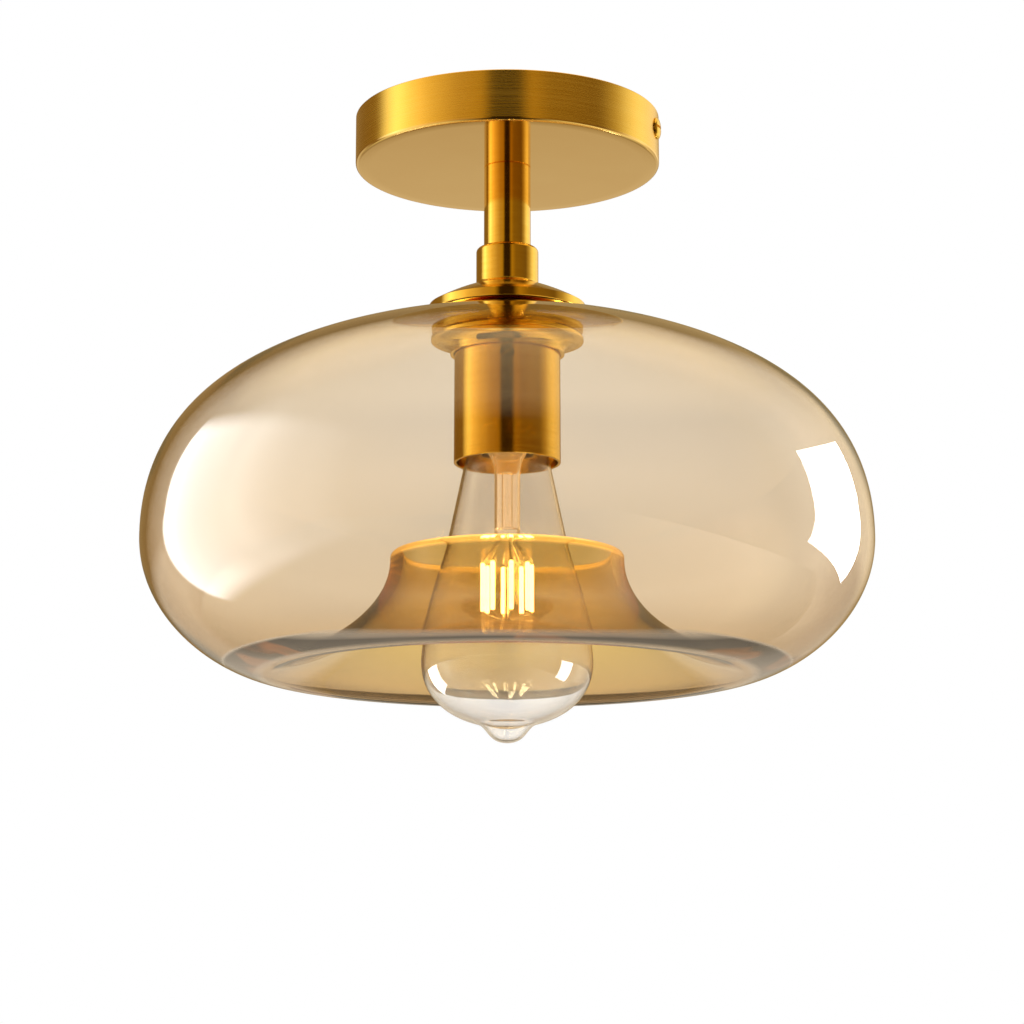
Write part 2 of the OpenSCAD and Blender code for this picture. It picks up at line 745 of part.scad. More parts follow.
// Tip contact of the lamp
module tip_contact() {
    color(STEEL)
        translate([0, 0, lamp_top_z - tip_t]) cylinder(r = tip_r, h = tip_t);
}

// Dark glass insulator between the lamp's tip and its cap
module lamp_insulator() {
    color(RUBBER)
        rotate_extrude()
            polygon([[0, lamp_top_z - tip_t - tip_gap], [tip_r, lamp_top_z - tip_t - tip_gap],
                     [lamp_cap_r - 1.2, cap_top_z], [0, cap_top_z]]);
}

// Screw cap of the lamp, open below for the glass neck
module lamp_cap() {
    color("gold") {
        ring(lamp_cap_r, lamp_cap_r - cap_sheet, cap_end_z, cap_top_z);
        ring(lamp_cap_r, 5, cap_top_z - cap_sheet, cap_top_z);
    }
}

// Glass of the lamp: a neck inside the cap, a long cone, a round foot and a sealing pip
neck_r = lamp_cap_r - cap_sheet - fit_gap;
cone_top = [15.6, cap_end_z - 2];
cone_end = [lamp_r - 10.6, lamp_foot_z + 80.3];
round_mid = [lamp_r, lamp_foot_z + 31.3];
foot_end = [12, lamp_foot_z + 7.5];
pip = [0, lamp_foot_z];
outer_line = concat(
    [[neck_r, cap_end_z + 7]],
    curve([neck_r, cap_end_z - 0.3], [neck_r, cap_end_z - 0.9],
          cone_top + [-0.7, 1], cone_top, 5),
    curve(cone_end, cone_end + [2.2, -13], round_mid + [-0.8, 18], round_mid, 14),
    curve(round_mid - [0, 1.2], round_mid - [0, 13], foot_end + [12, 3.2], foot_end, 14),
    curve(foot_end - [0.6, 0.12], foot_end - [4.5, 1.2], pip + [7.6, 0], pip + [0, 0], 9));
function line_normal(list, i) =
    let (a = list[max(0, i - 1)], b = list[min(len(list) - 1, i + 1)]) left_of(unit(b - a));
inner_line = [for (i = [0 : len(outer_line) - 1])
    let (p = outer_line[i] - lamp_wall * line_normal(outer_line, i)) [max(0, p[0]), p[1]]];

module lamp_glass() {
    color(CLEAR) rotate_extrude() polygon(concat(outer_line, reversed(inner_line)));
}

// Glass stem inside the lamp: a flare sealed to the neck, a tube, a press and a thin rod
stem_tube_r = 4.9;
stem_tube_l = 33;
stem_rod_r = 1;
press_h = 4;
wire_drop = 9.6;
hub_drop = 4;
exhaust_l = 24;
stem_flare_r = neck_r - lamp_wall - 0.05;
flare_z = cap_end_z - 1;
press_top_z = flare_z - stem_tube_l;
press_foot_z = press_top_z - press_h;
filament_top_z = press_foot_z - wire_drop;
filament_foot_z = filament_top_z - filament_l;
hub_z = filament_foot_z - hub_drop;

module lamp_stem() {
    tube_wall = 0.8;
    exhaust_r = 2.1;
    color(CLEAR) {
        rotate_extrude()
            polygon(concat(
                curve([stem_flare_r, flare_z], [stem_tube_r + 2, flare_z - 2],
                      [stem_tube_r, flare_z - 6], [stem_tube_r, flare_z - 12], 8),
                [[stem_tube_r, press_foot_z], [0, press_foot_z], [0, press_top_z],
                 [stem_tube_r - tube_wall, press_top_z]],
                reversed(curve([stem_flare_r - 1.2, flare_z + 0.2], [stem_tube_r + 0.6, flare_z - 2],
                      [stem_tube_r - tube_wall, flare_z - 6],
                      [stem_tube_r - tube_wall, flare_z - 12], 8))));
        translate([0, 0, press_top_z - 1]) cylinder(r = exhaust_r, h = exhaust_l);
        translate([0, 0, hub_z]) cylinder(r = stem_rod_r, h = press_foot_z - hub_z + 1);
    }
}

// Round bar between two points
module bar_between(a, b, r) {
    d = b - a;
    translate(a) rotate([0, acos(d[2] / norm(d)), atan2(d[1], d[0])]) cylinder(r = r, h = norm(d));
}

// Wires that hang the filament bars from the press and gather them on the rod's end
module support_wires() {
    wire_r = 0.3;
    hub_r = 1.8;
    hub_h = 0.8;
    color(STEEL)
        difference() {
            union() {
                for (i = [0 : filament_count - 1])
                    rotate([0, 0, (i + 0.5) * 360 / filament_count]) {
                        bar_between([2.2, 0, press_foot_z + 1],
                                    [filament_ring_r, 0, filament_top_z - 0.5], wire_r);
                        bar_between([hub_r - 0.4, 0, hub_z + hub_h / 2],
                                    [filament_ring_r, 0, filament_foot_z + 0.5], wire_r);
                    }
                translate([0, 0, hub_z]) cylinder(r = hub_r, h = hub_h);
            }
            filament_bars(0.02);
            translate([0, 0, press_foot_z - 0.02]) cylinder(r = stem_tube_r, h = press_h);
            translate([0, 0, hub_z - 1]) cylinder(r = stem_rod_r + 0.02, h = press_foot_z - hub_z);
        }
}

// Filament bars, grown by a margin where a wire has to stop at them
module filament_bars(grow) {
    for (i = [0 : filament_count - 1])
        rotate([0, 0, (i + 0.5) * 360 / filament_count])
            translate([filament_ring_r, 0, filament_foot_z - grow])
                cylinder(r = filament_r + grow, h = filament_l + 2 * grow);
}

module led_filaments() {
    color("yellow") filament_bars(0);
}

mounting_bar();
canopy();
canopy_screws();
earth_screw();
terminal_block();
terminal_screws();
block_screw();
hollow_rod();
canopy_nut();
canopy_washer();
lock_washer();
stem();
upper_cap();
upper_gasket();
glass_shade();
lower_gasket();
shade_holder();
shade_nut();
socket_cup();
cup_set_screw();
lampholder_dome();
lampholder_shell();
contact_carrier();
screw_shell();
centre_contact();
lead_screws();
live_lead();
neutral_lead();
earth_lead();
tip_contact();
lamp_insulator();
lamp_cap();
lamp_glass();
lamp_stem();
support_wires();
led_filaments();
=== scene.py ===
"""Looks of a semi-flush ceiling light: brass canopy and stem, champagne glass shade with a
re-entrant well, and a lit filament lamp. Metres, in the CAD model's frame. Profiles are written
in millimetres."""
import json
import math

import bmesh
import bpy
from mathutils import Matrix, Vector

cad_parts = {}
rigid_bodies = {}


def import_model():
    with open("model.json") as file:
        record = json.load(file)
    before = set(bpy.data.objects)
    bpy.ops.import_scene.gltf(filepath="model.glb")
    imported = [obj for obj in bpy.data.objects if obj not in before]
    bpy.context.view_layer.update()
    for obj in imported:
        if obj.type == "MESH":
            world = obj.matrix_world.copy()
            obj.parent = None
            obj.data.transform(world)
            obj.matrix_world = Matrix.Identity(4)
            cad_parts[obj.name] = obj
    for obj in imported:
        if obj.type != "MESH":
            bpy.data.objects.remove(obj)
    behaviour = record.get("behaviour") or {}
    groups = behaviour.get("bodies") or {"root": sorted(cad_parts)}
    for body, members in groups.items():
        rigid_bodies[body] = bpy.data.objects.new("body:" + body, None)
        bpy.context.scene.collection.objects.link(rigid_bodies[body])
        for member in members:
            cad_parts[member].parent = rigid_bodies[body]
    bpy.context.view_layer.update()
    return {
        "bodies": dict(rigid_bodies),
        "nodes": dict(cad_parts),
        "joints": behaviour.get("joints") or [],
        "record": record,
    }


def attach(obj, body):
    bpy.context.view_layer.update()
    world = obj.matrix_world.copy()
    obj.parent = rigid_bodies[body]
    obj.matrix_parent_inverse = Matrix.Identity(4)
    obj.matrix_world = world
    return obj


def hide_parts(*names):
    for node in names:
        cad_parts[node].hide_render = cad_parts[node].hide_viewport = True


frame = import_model()
MM = 0.001
TAU = 2 * math.pi

# ---- sizes shared with the CAD source, in millimetres
CANOPY_R, CANOPY_H, CANOPY_WALL, CANOPY_ROUND = 60.0, 20.0, 1.2, 1.4
SIDE_SCREW_Z, SIDE_HOLE_R = 8.0, 2.6
ROD_R, ROD_BORE, ROD_TOP_Z, ROD_FOOT_Z, FIT = 5.0, 3.6, -10.7, -96.918, 0.15
STEM_R, STEM_WALL, STEM_SEAT = 9.2, 1.2, 3.0
COLLAR_Z, COLLAR_FOOT_Z, COLLAR_R, COLLAR_ROUND = -53.0, -67.2, 12.2, 1.8
CAP_R, CAP_RIM_Z, CAP_FOOT_Z = 30.6, -76.6, -79.8
GASKET_TOP_Z, GASKET_R, GASKET_RIM = -79.0, 22.5, 1.0
GLASS, LIP_BEAD = 2.6, 2.3
LAND, SHOULDER = ((10.9, -81.7), (23.0, -82.668)), (30.6, -83.918)
BELLY, FOLD, LIP = (139.75, -170.9), (91.0, -221.6), (42.7, -177.6)
LAND_WAY, CROWN_WAY = (0.9968, -0.0797), (0.9724, -0.2334)
# Reach of the handles of the glass's curve
LAND_REACH, CROWN_REACH, BELLY_UP, BELLY_DOWN = 2.7, 45, 64.5, 31
FOLD_OUT, FOLD_IN, LIP_CLIMB = 17, 8, 28
HOLDER_TOP_Z, HOLDER_RIM_H, HOLDER_DROP = -85.418, 2.0, 6.1
HOLDER_R, HOLDER_WALL, HOLDER_EDGE, CUP_GAP = 30.2, 1.2, 0.8, 0.5
VENT_R, VENT_HALF, VENT_DEEP, VENT_RISE, VENT_COUNT = 1.2, 7.55, 27.5, 2.6, 3
VENT_AZ = math.radians(9)
CUP_R, CUP_WALL, CUP_ROUND, CUP_TOP_Z, CUP_FOOT_Z = 20.8, 1.1, 1.5, -90.818, -139.218
SET_AZ, SET_HOLE_R, SET_DROP = math.radians(-77), 2.8, 7
SHELL_R, SHELL_WALL, SHELL_TOP_Z, SHELL_FOOT_Z, MOUTH_R = 18.8, 1.0, -103.418, -134.318, 16.6
SCREW_SHELL_R, SCREW_SHELL_TOP_Z, SCREW_SHELL_FOOT_Z = 14.0, -104.918, -130.418
LAMP_CAP_R, LAMP_CAP_TOP_Z, LAMP_CAP_FOOT_Z, SHEET = 13.1, -110.918, -131.918, 0.4
LAMP_R, LAMP_FOOT_Z, LAMP_WALL = 33.0, -248.218, 1.0
BAR_COUNT, BAR_RING, BAR_R, BAR_FOOT_Z, BAR_L = 8, 9.5, 0.9, -203.018, 23.5
LAMP_PITCH, ROD_PITCH = 3.629, 1.0
LAMP_THREAD, SHELL_THREAD, ROD_THREAD = 0.95, 0.9, 0.5
# Azimuth of the photograph's side of the light
VIEW_AZ = math.radians(13)


# ---- curves
def mix(a, b, t):
    return tuple(p + (q - p) * t for p, q in zip(a, b))


def curve(a, b, c, d, n):
    out = []
    for i in range(n + 1):
        t = i / n
        k = ((1 - t) ** 3, 3 * (1 - t) ** 2 * t, 3 * (1 - t) * t * t, t ** 3)
        out.append(tuple(sum(w * p[j] for w, p in zip(k, (a, b, c, d))) for j in range(len(a))))
    return out


def arc(centre, r, start, end, n):
    out = []
    for i in range(n + 1):
        w = math.radians(start + (end - start) * i / n)
        out.append((centre[0] + r * math.cos(w), centre[1] + r * math.sin(w)))
    return out


def normals(line):
    out = []
    for i in range(len(line)):
        a, b = line[max(0, i - 1)], line[min(len(line) - 1, i + 1)]
        dx, dy = b[0] - a[0], b[1] - a[1]
        n = math.hypot(dx, dy) or 1
        out.append((-dy / n, dx / n))
    return out


# ---- meshes
def new_object(name, mesh, body=None, mats=()):
    ob = bpy.data.objects.new(name, mesh)
    bpy.context.scene.collection.objects.link(ob)
    for m in mats:
        mesh.materials.append(m)
    if body:
        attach(ob, body)
    return ob


def finish_mesh(name, bm, sharp=35):
    bmesh.ops.remove_doubles(bm, verts=bm.verts, dist=1e-7)
    bmesh.ops.recalc_face_normals(bm, faces=bm.faces)
    mesh = bpy.data.meshes.new(name)
    bm.to_mesh(mesh)
    bm.free()
    for p in mesh.polygons:
        p.use_smooth = True
    mesh.set_sharp_from_angle(angle=math.radians(sharp))
    return mesh


def add_lathe(bm, outline, segments=160, closed=True, material=None, pitch=LAMP_PITCH):
    """Revolves (radius, height) points about Z. A third number at a point is the depth of a thread
    that winds there. material gives a slot number for a side's index."""
    rings = []
    for r, z, *depth in outline:
        if r < 1e-6:
            rings.append([bm.verts.new((0, 0, z * MM))])
            continue
        ring = []
        for k in range(segments):
            w = TAU * k / segments
            wave = depth[0] * (1 - math.cos(TAU * z / pitch - w)) / 2 if depth else 0
            out = (r - wave) * MM
            ring.append(bm.verts.new((out * math.cos(w), out * math.sin(w), z * MM)))
        rings.append(ring)
    for i in range(len(rings) - (0 if closed else 1)):
        a, b = rings[i], rings[(i + 1) % len(rings)]
        if len(a) == 1 and len(b) == 1:
            continue
        for k in range(segments):
            k2 = (k + 1) % segments
            quad = [a[k % len(a)], a[k2 % len(a)], b[k2 % len(b)], b[k % len(b)]]
            quad = [v for j, v in enumerate(quad) if v not in quad[:j]]
            f = bm.faces.new(quad)
            f.material_index = material(i) if material else 0


def lathe(name, outline, body, mats, segments=160, sharp=35, material=None,
          pitch=LAMP_PITCH):
    bm = bmesh.new()
    add_lathe(bm, outline, segments, material=material, pitch=pitch)
    return new_object(name, finish_mesh(name, bm, sharp), body, mats)


def thread_rows(radius, depth, start, end, pitch, per_turn=12):
    """Rows of a thread between two heights. It runs out over its first and last half turn."""
    n = max(2, round(abs(end - start) / pitch * per_turn))
    rows = []
    for i in range(n + 1):
        z = start + (end - start) * i / n
        run = min(1.0, abs(z - start) / (pitch / 2), abs(end - z) / (pitch / 2))
        rows.append((radius, z, depth * run * run * (3 - 2 * run)))
    return rows


def add_drill(bm, radius, length, frame, segments):
    """Round cutter along the X axis of a frame. Radius and length are in millimetres."""
    bmesh.ops.create_cone(bm, cap_ends=True, segments=segments, radius1=radius * MM,
                          radius2=radius * MM, depth=length * MM,
                          matrix=frame @ Matrix.Rotation(math.pi / 2, 4, "Y"))


def add_box(bm, low, high):
    low, high = Vector(low) * MM, Vector(high) * MM
    made = bmesh.ops.create_cube(bm, size=1)
    for v in made["verts"]:
        v.co = Vector((low[j] + (v.co[j] + 0.5) * (high[j] - low[j]) for j in range(3)))
    return made["verts"]


def cut(ob, cutter):
    """Takes the cutter's shape out of the object, with the result kept in its mesh."""
    m = ob.modifiers.new("cut", "BOOLEAN")
    m.operation, m.solver, m.object, m.use_self = "DIFFERENCE", "EXACT", cutter, True
    dg = bpy.context.evaluated_depsgraph_get()
    mesh = bpy.data.meshes.new_from_object(ob.evaluated_get(dg))
    ob.modifiers.clear()
    ob.data = mesh
    bpy.data.objects.remove(cutter)
    for p in mesh.polygons:
        p.use_smooth = True
    mesh.set_sharp_from_angle(angle=math.radians(30))


# ---- materials
def material(name):
    m = bpy.data.materials.new(name)
    m.use_nodes = True
    tree = m.node_tree
    return m, tree, tree.nodes["Principled BSDF"]


def node(tree, kind, **values):
    n = tree.nodes.new(kind)
    for k, v in values.items():
        setattr(n, k, v)
    return n


def link(tree, a, b):
    tree.links.new(a, b)


def math_node(tree, operation, a, b=None):
    n = node(tree, "ShaderNodeMath", operation=operation)
    for i, v in enumerate((a, b)):
        if v is None:
            continue
        if isinstance(v, (int, float)):
            n.inputs[i].default_value = v
        else:
            link(tree, v, n.inputs[i])
    return n.outputs[0]


def ramp(tree, fac, stops, interpolation="LINEAR"):
    n = node(tree, "ShaderNodeValToRGB")
    n.color_ramp.interpolation = interpolation
    e = n.color_ramp.elements
    while len(e) < len(stops):
        e.new(0.5)
    for el, (pos, _) in zip(e, stops):
        el.position = pos
    for el, (_, col) in zip(e, stops):
        el.color = (*col, 1)
    link(tree, fac, n.inputs[0])
    return n.outputs[0]


def grey(v):
    return (v, v, v)


def axes(tree, space="Object"):
    """X, Y and Z of the object's own coordinates, or with Generated of a world's direction."""
    co = node(tree, "ShaderNodeTexCoord")
    sep = node(tree, "ShaderNodeSeparateXYZ")
    link(tree, co.outputs[space], sep.inputs[0])
    return sep.outputs


def off_axis(tree, x, y):
    """Distance from the Z axis."""
    return math_node(tree, "SQRT", math_node(
        tree, "ADD", math_node(tree, "MULTIPLY", x, x), math_node(tree, "MULTIPLY", y, y)))


def stretched_noise(tree, scale, detail=3.0, rough=0.55):
    """Noise over the object's own coordinates, in 1/m, stretched by one scale an axis."""
    co = node(tree, "ShaderNodeTexCoord")
    mp = node(tree, "ShaderNodeMapping")
    mp.inputs["Scale"].default_value = scale
    link(tree, co.outputs["Object"], mp.inputs["Vector"])
    n = node(tree, "ShaderNodeTexNoise")
    n.inputs["Scale"].default_value = 1.0
    n.inputs["Detail"].default_value = detail
    n.inputs["Roughness"].default_value = rough
    link(tree, mp.outputs[0], n.inputs["Vector"])
    return n.outputs["Fac"]


def radius_noise(tree, frequency):
    """Fine rings round the Z axis, as a lathe leaves them on a flat face."""
    x, y, z = axes(tree)
    comb = node(tree, "ShaderNodeCombineXYZ")
    link(tree, math_node(tree, "MULTIPLY", off_axis(tree, x, y), frequency), comb.inputs[0])
    link(tree, math_node(tree, "MULTIPLY", z, frequency), comb.inputs[1])
    n = node(tree, "ShaderNodeTexNoise")
    n.inputs["Scale"].default_value = 1.0
    n.inputs["Detail"].default_value = 2.0
    link(tree, comb.outputs[0], n.inputs["Vector"])
    return n.outputs["Fac"]


def remap(tree, value, start, end, low=0.0, high=1.0):
    """low where the value is start, high where it is end, and held beyond them."""
    n = node(tree, "ShaderNodeMapRange")
    n.inputs["From Min"].default_value, n.inputs["From Max"].default_value = start, end
    n.inputs["To Min"].default_value, n.inputs["To Max"].default_value = low, high
    link(tree, value, n.inputs["Value"])
    return n.outputs[0]


def vary(tree, noise, low, high):
    return remap(tree, noise, 0.3, 0.7, low, high)


def blend(tree, fac, a, b, kind="MIX"):
    """Colour a where fac is 0 and b where it is 1. Each may be a socket or a plain value."""
    n = node(tree, "ShaderNodeMix", data_type="RGBA", blend_type=kind)
    for i, v in ((0, fac), (6, a), (7, b)):
        if isinstance(v, float):
            n.inputs[i].default_value = v
        elif isinstance(v, tuple):
            n.inputs[i].default_value = (*v, 1)
        else:
            link(tree, v, n.inputs[i])
    return n.outputs[2]


def bump(tree, bsdf, height, distance, strength=1.0):
    n = node(tree, "ShaderNodeBump")
    n.inputs["Strength"].default_value = strength
    n.inputs["Distance"].default_value = distance
    link(tree, height, n.inputs["Height"])
    link(tree, n.outputs[0], bsdf.inputs["Normal"])


LINES_SHARE, CLOUDS_SHARE = 0.55, 0.45
LATHE_LINES = 2600


def metal(name, low, high, rough, spread=0.02, brushed=0.0, rings=False, depth=0.0, wear=0.0):
    """Metal whose colour and gloss vary along fine lathe lines and small clouds of handling."""
    m, t, b = material(name)
    lines = (radius_noise(t, LATHE_LINES) if rings
             else stretched_noise(t, (30, 30, LATHE_LINES), detail=2.0) if brushed
             else stretched_noise(t, (160, 160, 900), detail=2.0))
    clouds = stretched_noise(t, (34, 34, 34), detail=4.0)
    both = math_node(t, "ADD", math_node(t, "MULTIPLY", lines, LINES_SHARE),
                     math_node(t, "MULTIPLY", clouds, CLOUDS_SHARE))
    link(t, ramp(t, both, [(0.36, low), (0.64, high)]), b.inputs["Base Color"])
    b.inputs["Metallic"].default_value = 1.0
    r = vary(t, lines, rough - spread, rough + spread)
    if wear:
        r = math_node(t, "ADD", r, math_node(t, "MULTIPLY", vary(t, clouds, -1, 1), wear))
    link(t, r, b.inputs["Roughness"])
    if brushed:
        b.inputs["Anisotropic"].default_value = brushed
        b.inputs["Anisotropic Rotation"].default_value = 0.25
        tan = node(t, "ShaderNodeTangent", direction_type="RADIAL", axis="Z")
        link(t, tan.outputs[0], b.inputs["Tangent"])
    if depth:
        bump(t, b, lines, depth)
    return m


def matte(name, low, high, rough, scale=220.0, depth=0.00002):
    m, t, b = material(name)
    n = stretched_noise(t, (scale,) * 3, detail=5.0)
    link(t, ramp(t, n, [(0.3, low), (0.7, high)]), b.inputs["Base Color"])
    link(t, vary(t, n, rough - 0.05, rough + 0.05), b.inputs["Roughness"])
    bump(t, b, n, depth)
    return m


BRASS_LOW, BRASS_HIGH = (0.85, 0.55, 0.085), (0.91, 0.62, 0.12)
brass_wall = metal("brass_brushed_wall", BRASS_LOW, BRASS_HIGH, 0.27, 0.03, brushed=0.9,
                   depth=2e-7)
brass_face = metal("brass_turned_face", (0.86, 0.58, 0.18), (0.91, 0.64, 0.22), 0.085, 0.02,
                   rings=True, wear=0.015)
brass = metal("brass_polished", BRASS_LOW, BRASS_HIGH, 0.10, 0.02, wear=0.01)
brass_cup = metal("brass_satin_cup", BRASS_LOW, BRASS_HIGH, 0.15, 0.02, brushed=0.5)
brass_mouth = metal("brass_satin_mouth", (0.88, 0.60, 0.18), (0.94, 0.68, 0.24), 0.34, 0.04)
brass_plain = metal("brass_plain", (0.80, 0.50, 0.15), (0.88, 0.60, 0.22), 0.24, 0.06, wear=0.04)
cap_metal = metal("cap_sheet", (0.74, 0.62, 0.40), (0.84, 0.72, 0.48), 0.22, 0.05, wear=0.04)
zinc = metal("steel_zinc", (0.50, 0.51, 0.53), (0.66, 0.67, 0.69), 0.34, 0.06, wear=0.08)
zinc_bright = metal("steel_bright", (0.62, 0.62, 0.63), (0.74, 0.74, 0.75), 0.22, 0.05, wear=0.04)
solder = metal("solder_tin", (0.56, 0.56, 0.55), (0.72, 0.72, 0.70), 0.38, 0.08, wear=0.08)
nylon = matte("nylon_white", (0.72, 0.72, 0.68), (0.80, 0.80, 0.76), 0.48)
ceramic = matte("steatite_white", (0.74, 0.72, 0.66), (0.82, 0.80, 0.75), 0.62, 500.0, 0.00004)
rubber = matte("rubber_black", (0.012, 0.012, 0.012), (0.026, 0.025, 0.024), 0.72, 600.0,
               0.00003)
lead_brown = matte("insulation_brown", (0.11, 0.045, 0.018), (0.15, 0.062, 0.026), 0.40, 300.0)
lead_blue = matte("insulation_blue", (0.010, 0.060, 0.26), (0.016, 0.085, 0.34), 0.40, 300.0)
dark_glass = matte("insulator_black_glass", (0.006, 0.005, 0.010), (0.016, 0.012, 0.024), 0.12,
                   90.0)


def striped_insulation():
    """Green insulation with a yellow stripe that winds slowly round it."""
    m, t, b = material("insulation_green_yellow")
    x, _, z = axes(t)
    way = math_node(t, "ADD", z, math_node(t, "MULTIPLY", x, 0.15))
    wave = math_node(t, "SINE", math_node(t, "MULTIPLY", way, 2600))
    wave = math_node(t, "ADD", math_node(t, "MULTIPLY", wave, 0.5), 0.5)
    link(t, ramp(t, wave, [(0.60, (0.02, 0.17, 0.03)), (0.66, (0.75, 0.60, 0.04))]),
         b.inputs["Base Color"])
    n = stretched_noise(t, (300,) * 3)
    link(t, vary(t, n, 0.36, 0.46), b.inputs["Roughness"])
    bump(t, b, n, 0.00002)
    return m


lead_green = striped_insulation()


# Places on the glass shade, in metres
CROWN_Z, FOLD_Z = -0.085, -0.223
WELL_R, WELL_EDGE_R, WELL_TOP_Z, WELL_LOW_Z = 0.095, 0.088, -0.150, -0.172
# Heights over which the painted dark reflection on the fold fades in
PAINTED_REFLECTION_TOP_Z, PAINTED_REFLECTION_LOW_Z = -0.190, -0.200
LIP_R, LIP_EDGE_R, LIP_LOW_Z, LIP_TOP_Z = 0.0452, 0.0440, -0.1784, -0.1774
# The second number is the strength of the lip's painted glow
GLASS_IOR, LIP_PAINTED_GLOW = 1.5, 0.8


def shade_glass(name):
    """Champagne glass, pale over the crown and amber in the well. The outside of the fold carries
    a painted dark reflection where it is seen edge-on, and the lip a painted glow that stands in
    for the lamp's light. One material for the whole wall, so that each ray leaves the glass it
    entered."""
    m, t, b = material(name)
    x, y, z = axes(t)
    r = off_axis(t, x, y)
    clouds = stretched_noise(t, (9, 9, 14), detail=3.0)
    drop = math_node(t, "ADD", remap(t, z, CROWN_Z, FOLD_Z), math_node(
        t, "MULTIPLY", math_node(t, "SUBTRACT", clouds, 0.5), 0.10))
    outer = ramp(t, drop, [(0.05, (0.985, 0.965, 0.94)), (0.35, (0.935, 0.895, 0.83)),
                           (0.70, (0.91, 0.835, 0.735)), (1.0, (0.87, 0.75, 0.59))])
    well = ramp(t, drop, [(0.62, (0.85, 0.70, 0.30)), (0.85, (0.86, 0.71, 0.32)),
                          (0.96, (0.87, 0.74, 0.46)), (1.0, (0.87, 0.75, 0.59))])
    # The well's wall is what lies inside the fold and below the lip
    low = remap(t, z, WELL_TOP_Z, WELL_LOW_Z)
    in_well = math_node(t, "MULTIPLY", remap(t, r, WELL_R, WELL_EDGE_R), low)
    clear = blend(t, in_well, outer, well)

    # Painted dark reflection on the outside of the fold: where it is seen edge-on, dark
    # patches take the place of the glass's colour and of its transmission
    edge_on = node(t, "ShaderNodeLayerWeight")
    edge_on.inputs["Blend"].default_value = 0.5
    facing = ramp(t, edge_on.outputs["Facing"], [(0.50, grey(0)), (0.62, grey(1))])
    # 8 r is 1 at a radius of 125 mm
    band = ramp(t, math_node(t, "MULTIPLY", r, 8.0), [
        (0.74, grey(0)), (0.78, grey(0.88)), (0.862, grey(0.96)), (0.875, grey(0))])
    painted_dark_reflection = math_node(t, "MULTIPLY", math_node(t, "MULTIPLY", facing, band),
                      remap(t, z, PAINTED_REFLECTION_TOP_Z, PAINTED_REFLECTION_LOW_Z))
    dark_reflection_patches = ramp(t, stretched_noise(t, (30, 30, 10), detail=2.0, rough=0.4),
                   [(0.42, (0.040, 0.033, 0.029)), (0.56, (0.058, 0.045, 0.036)),
                    (0.61, (0.24, 0.095, 0.040)), (0.68, (0.14, 0.075, 0.038))])
    link(t, blend(t, painted_dark_reflection, clear, dark_reflection_patches), b.inputs["Base Color"])
    link(t, math_node(t, "SUBTRACT", 1.0, painted_dark_reflection), b.inputs["Transmission Weight"])

    # Painted glow of the lip: an emission that stands in for the lamp's light gathered there
    b.inputs["Emission Color"].default_value = (1.0, 0.62, 0.20, 1)
    lit = math_node(t, "MULTIPLY", math_node(t, "MULTIPLY", remap(t, r, LIP_R, LIP_EDGE_R), low),
                    remap(t, z, LIP_LOW_Z, LIP_TOP_Z))
    link(t, math_node(t, "MULTIPLY", lit, LIP_PAINTED_GLOW), b.inputs["Emission Strength"])

    b.inputs["Roughness"].default_value = 0.0
    b.inputs["IOR"].default_value = GLASS_IOR
    bump(t, b, stretched_noise(t, (16, 16, 22), detail=1.0), 0.0006, 0.6)
    ab = node(t, "ShaderNodeVolumeAbsorption")
    ab.inputs["Color"].default_value = (0.86, 0.70, 0.44, 1)
    ab.inputs["Density"].default_value = 100.0
    link(t, ab.outputs[0], t.nodes["Material Output"].inputs["Volume"])
    return m


def clear_glass(name, tint, wave=0.0003, haze=0.0, lit=0.0):
    """Clear glass. haze is the share that scatters. lit is the strength of a painted glow, an
    emission that stands in for the filament's light.
    """
    m, t, b = material(name)
    clouds = stretched_noise(t, (40, 40, 24), detail=2.0)
    link(t, ramp(t, clouds, [(0.35, tint), (0.65, (0.995, 0.99, 0.98))]),
         b.inputs["Base Color"])
    b.inputs["Roughness"].default_value = 0.0
    b.inputs["IOR"].default_value = GLASS_IOR
    b.inputs["Transmission Weight"].default_value = 1.0 - haze
    # Painted glow: an emission that stands in for the filament's light
    b.inputs["Emission Color"].default_value = (1.0, 0.55, 0.16, 1)
    b.inputs["Emission Strength"].default_value = lit
    bump(t, b, clouds, wave, 0.5)
    return m


champagne = shade_glass("glass_champagne")
bulb_glass = clear_glass("glass_clear_bulb", (0.965, 0.955, 0.94), haze=0.045)
# The stem's glass carries a painted glow that stands in for the filament's light
stem_glass = clear_glass("glass_clear_stem", (0.97, 0.955, 0.93), 0.0001, lit=0.09)


def glow(name, colour, strength, base):
    m, t, b = material(name)
    n = stretched_noise(t, (500, 500, 900), detail=3.0)
    link(t, ramp(t, n, [(0.3, base), (0.7, tuple(min(1, c * 1.15) for c in base))]),
         b.inputs["Base Color"])
    b.inputs["Roughness"].default_value = 0.6
    b.inputs["Emission Color"].default_value = (*colour, 1)
    b.inputs["Emission Strength"].default_value = strength
    bump(t, b, n, 0.00003)
    return m


filament = glow("filament_phosphor", (1.0, 0.80, 0.48), 60.0, (0.85, 0.62, 0.16))

# ---- carried CAD pieces
for name, mat in {
    "mounting_bar": zinc, "canopy_screws": brass, "earth_screw": brass_plain,
    "terminal_block": nylon, "terminal_screws": brass_plain, "block_screw": zinc_bright,
    "canopy_nut": zinc_bright, "canopy_washer": zinc, "lock_washer": zinc_bright,
    "upper_gasket": rubber, "lower_gasket": rubber, "shade_nut": zinc_bright,
    "cup_set_screw": brass, "lampholder_dome": brass_plain, "contact_carrier": ceramic,
    "centre_contact": brass_plain, "lead_screws": brass_plain, "tip_contact": solder,
    "lamp_insulator": dark_glass, "support_wires": zinc_bright, "lamp_stem": stem_glass,
    "live_lead": lead_brown, "neutral_lead": lead_blue, "earth_lead": lead_green,
}.items():
    ob = frame["nodes"][name]
    ob.data.materials.clear()
    ob.data.materials.append(mat)


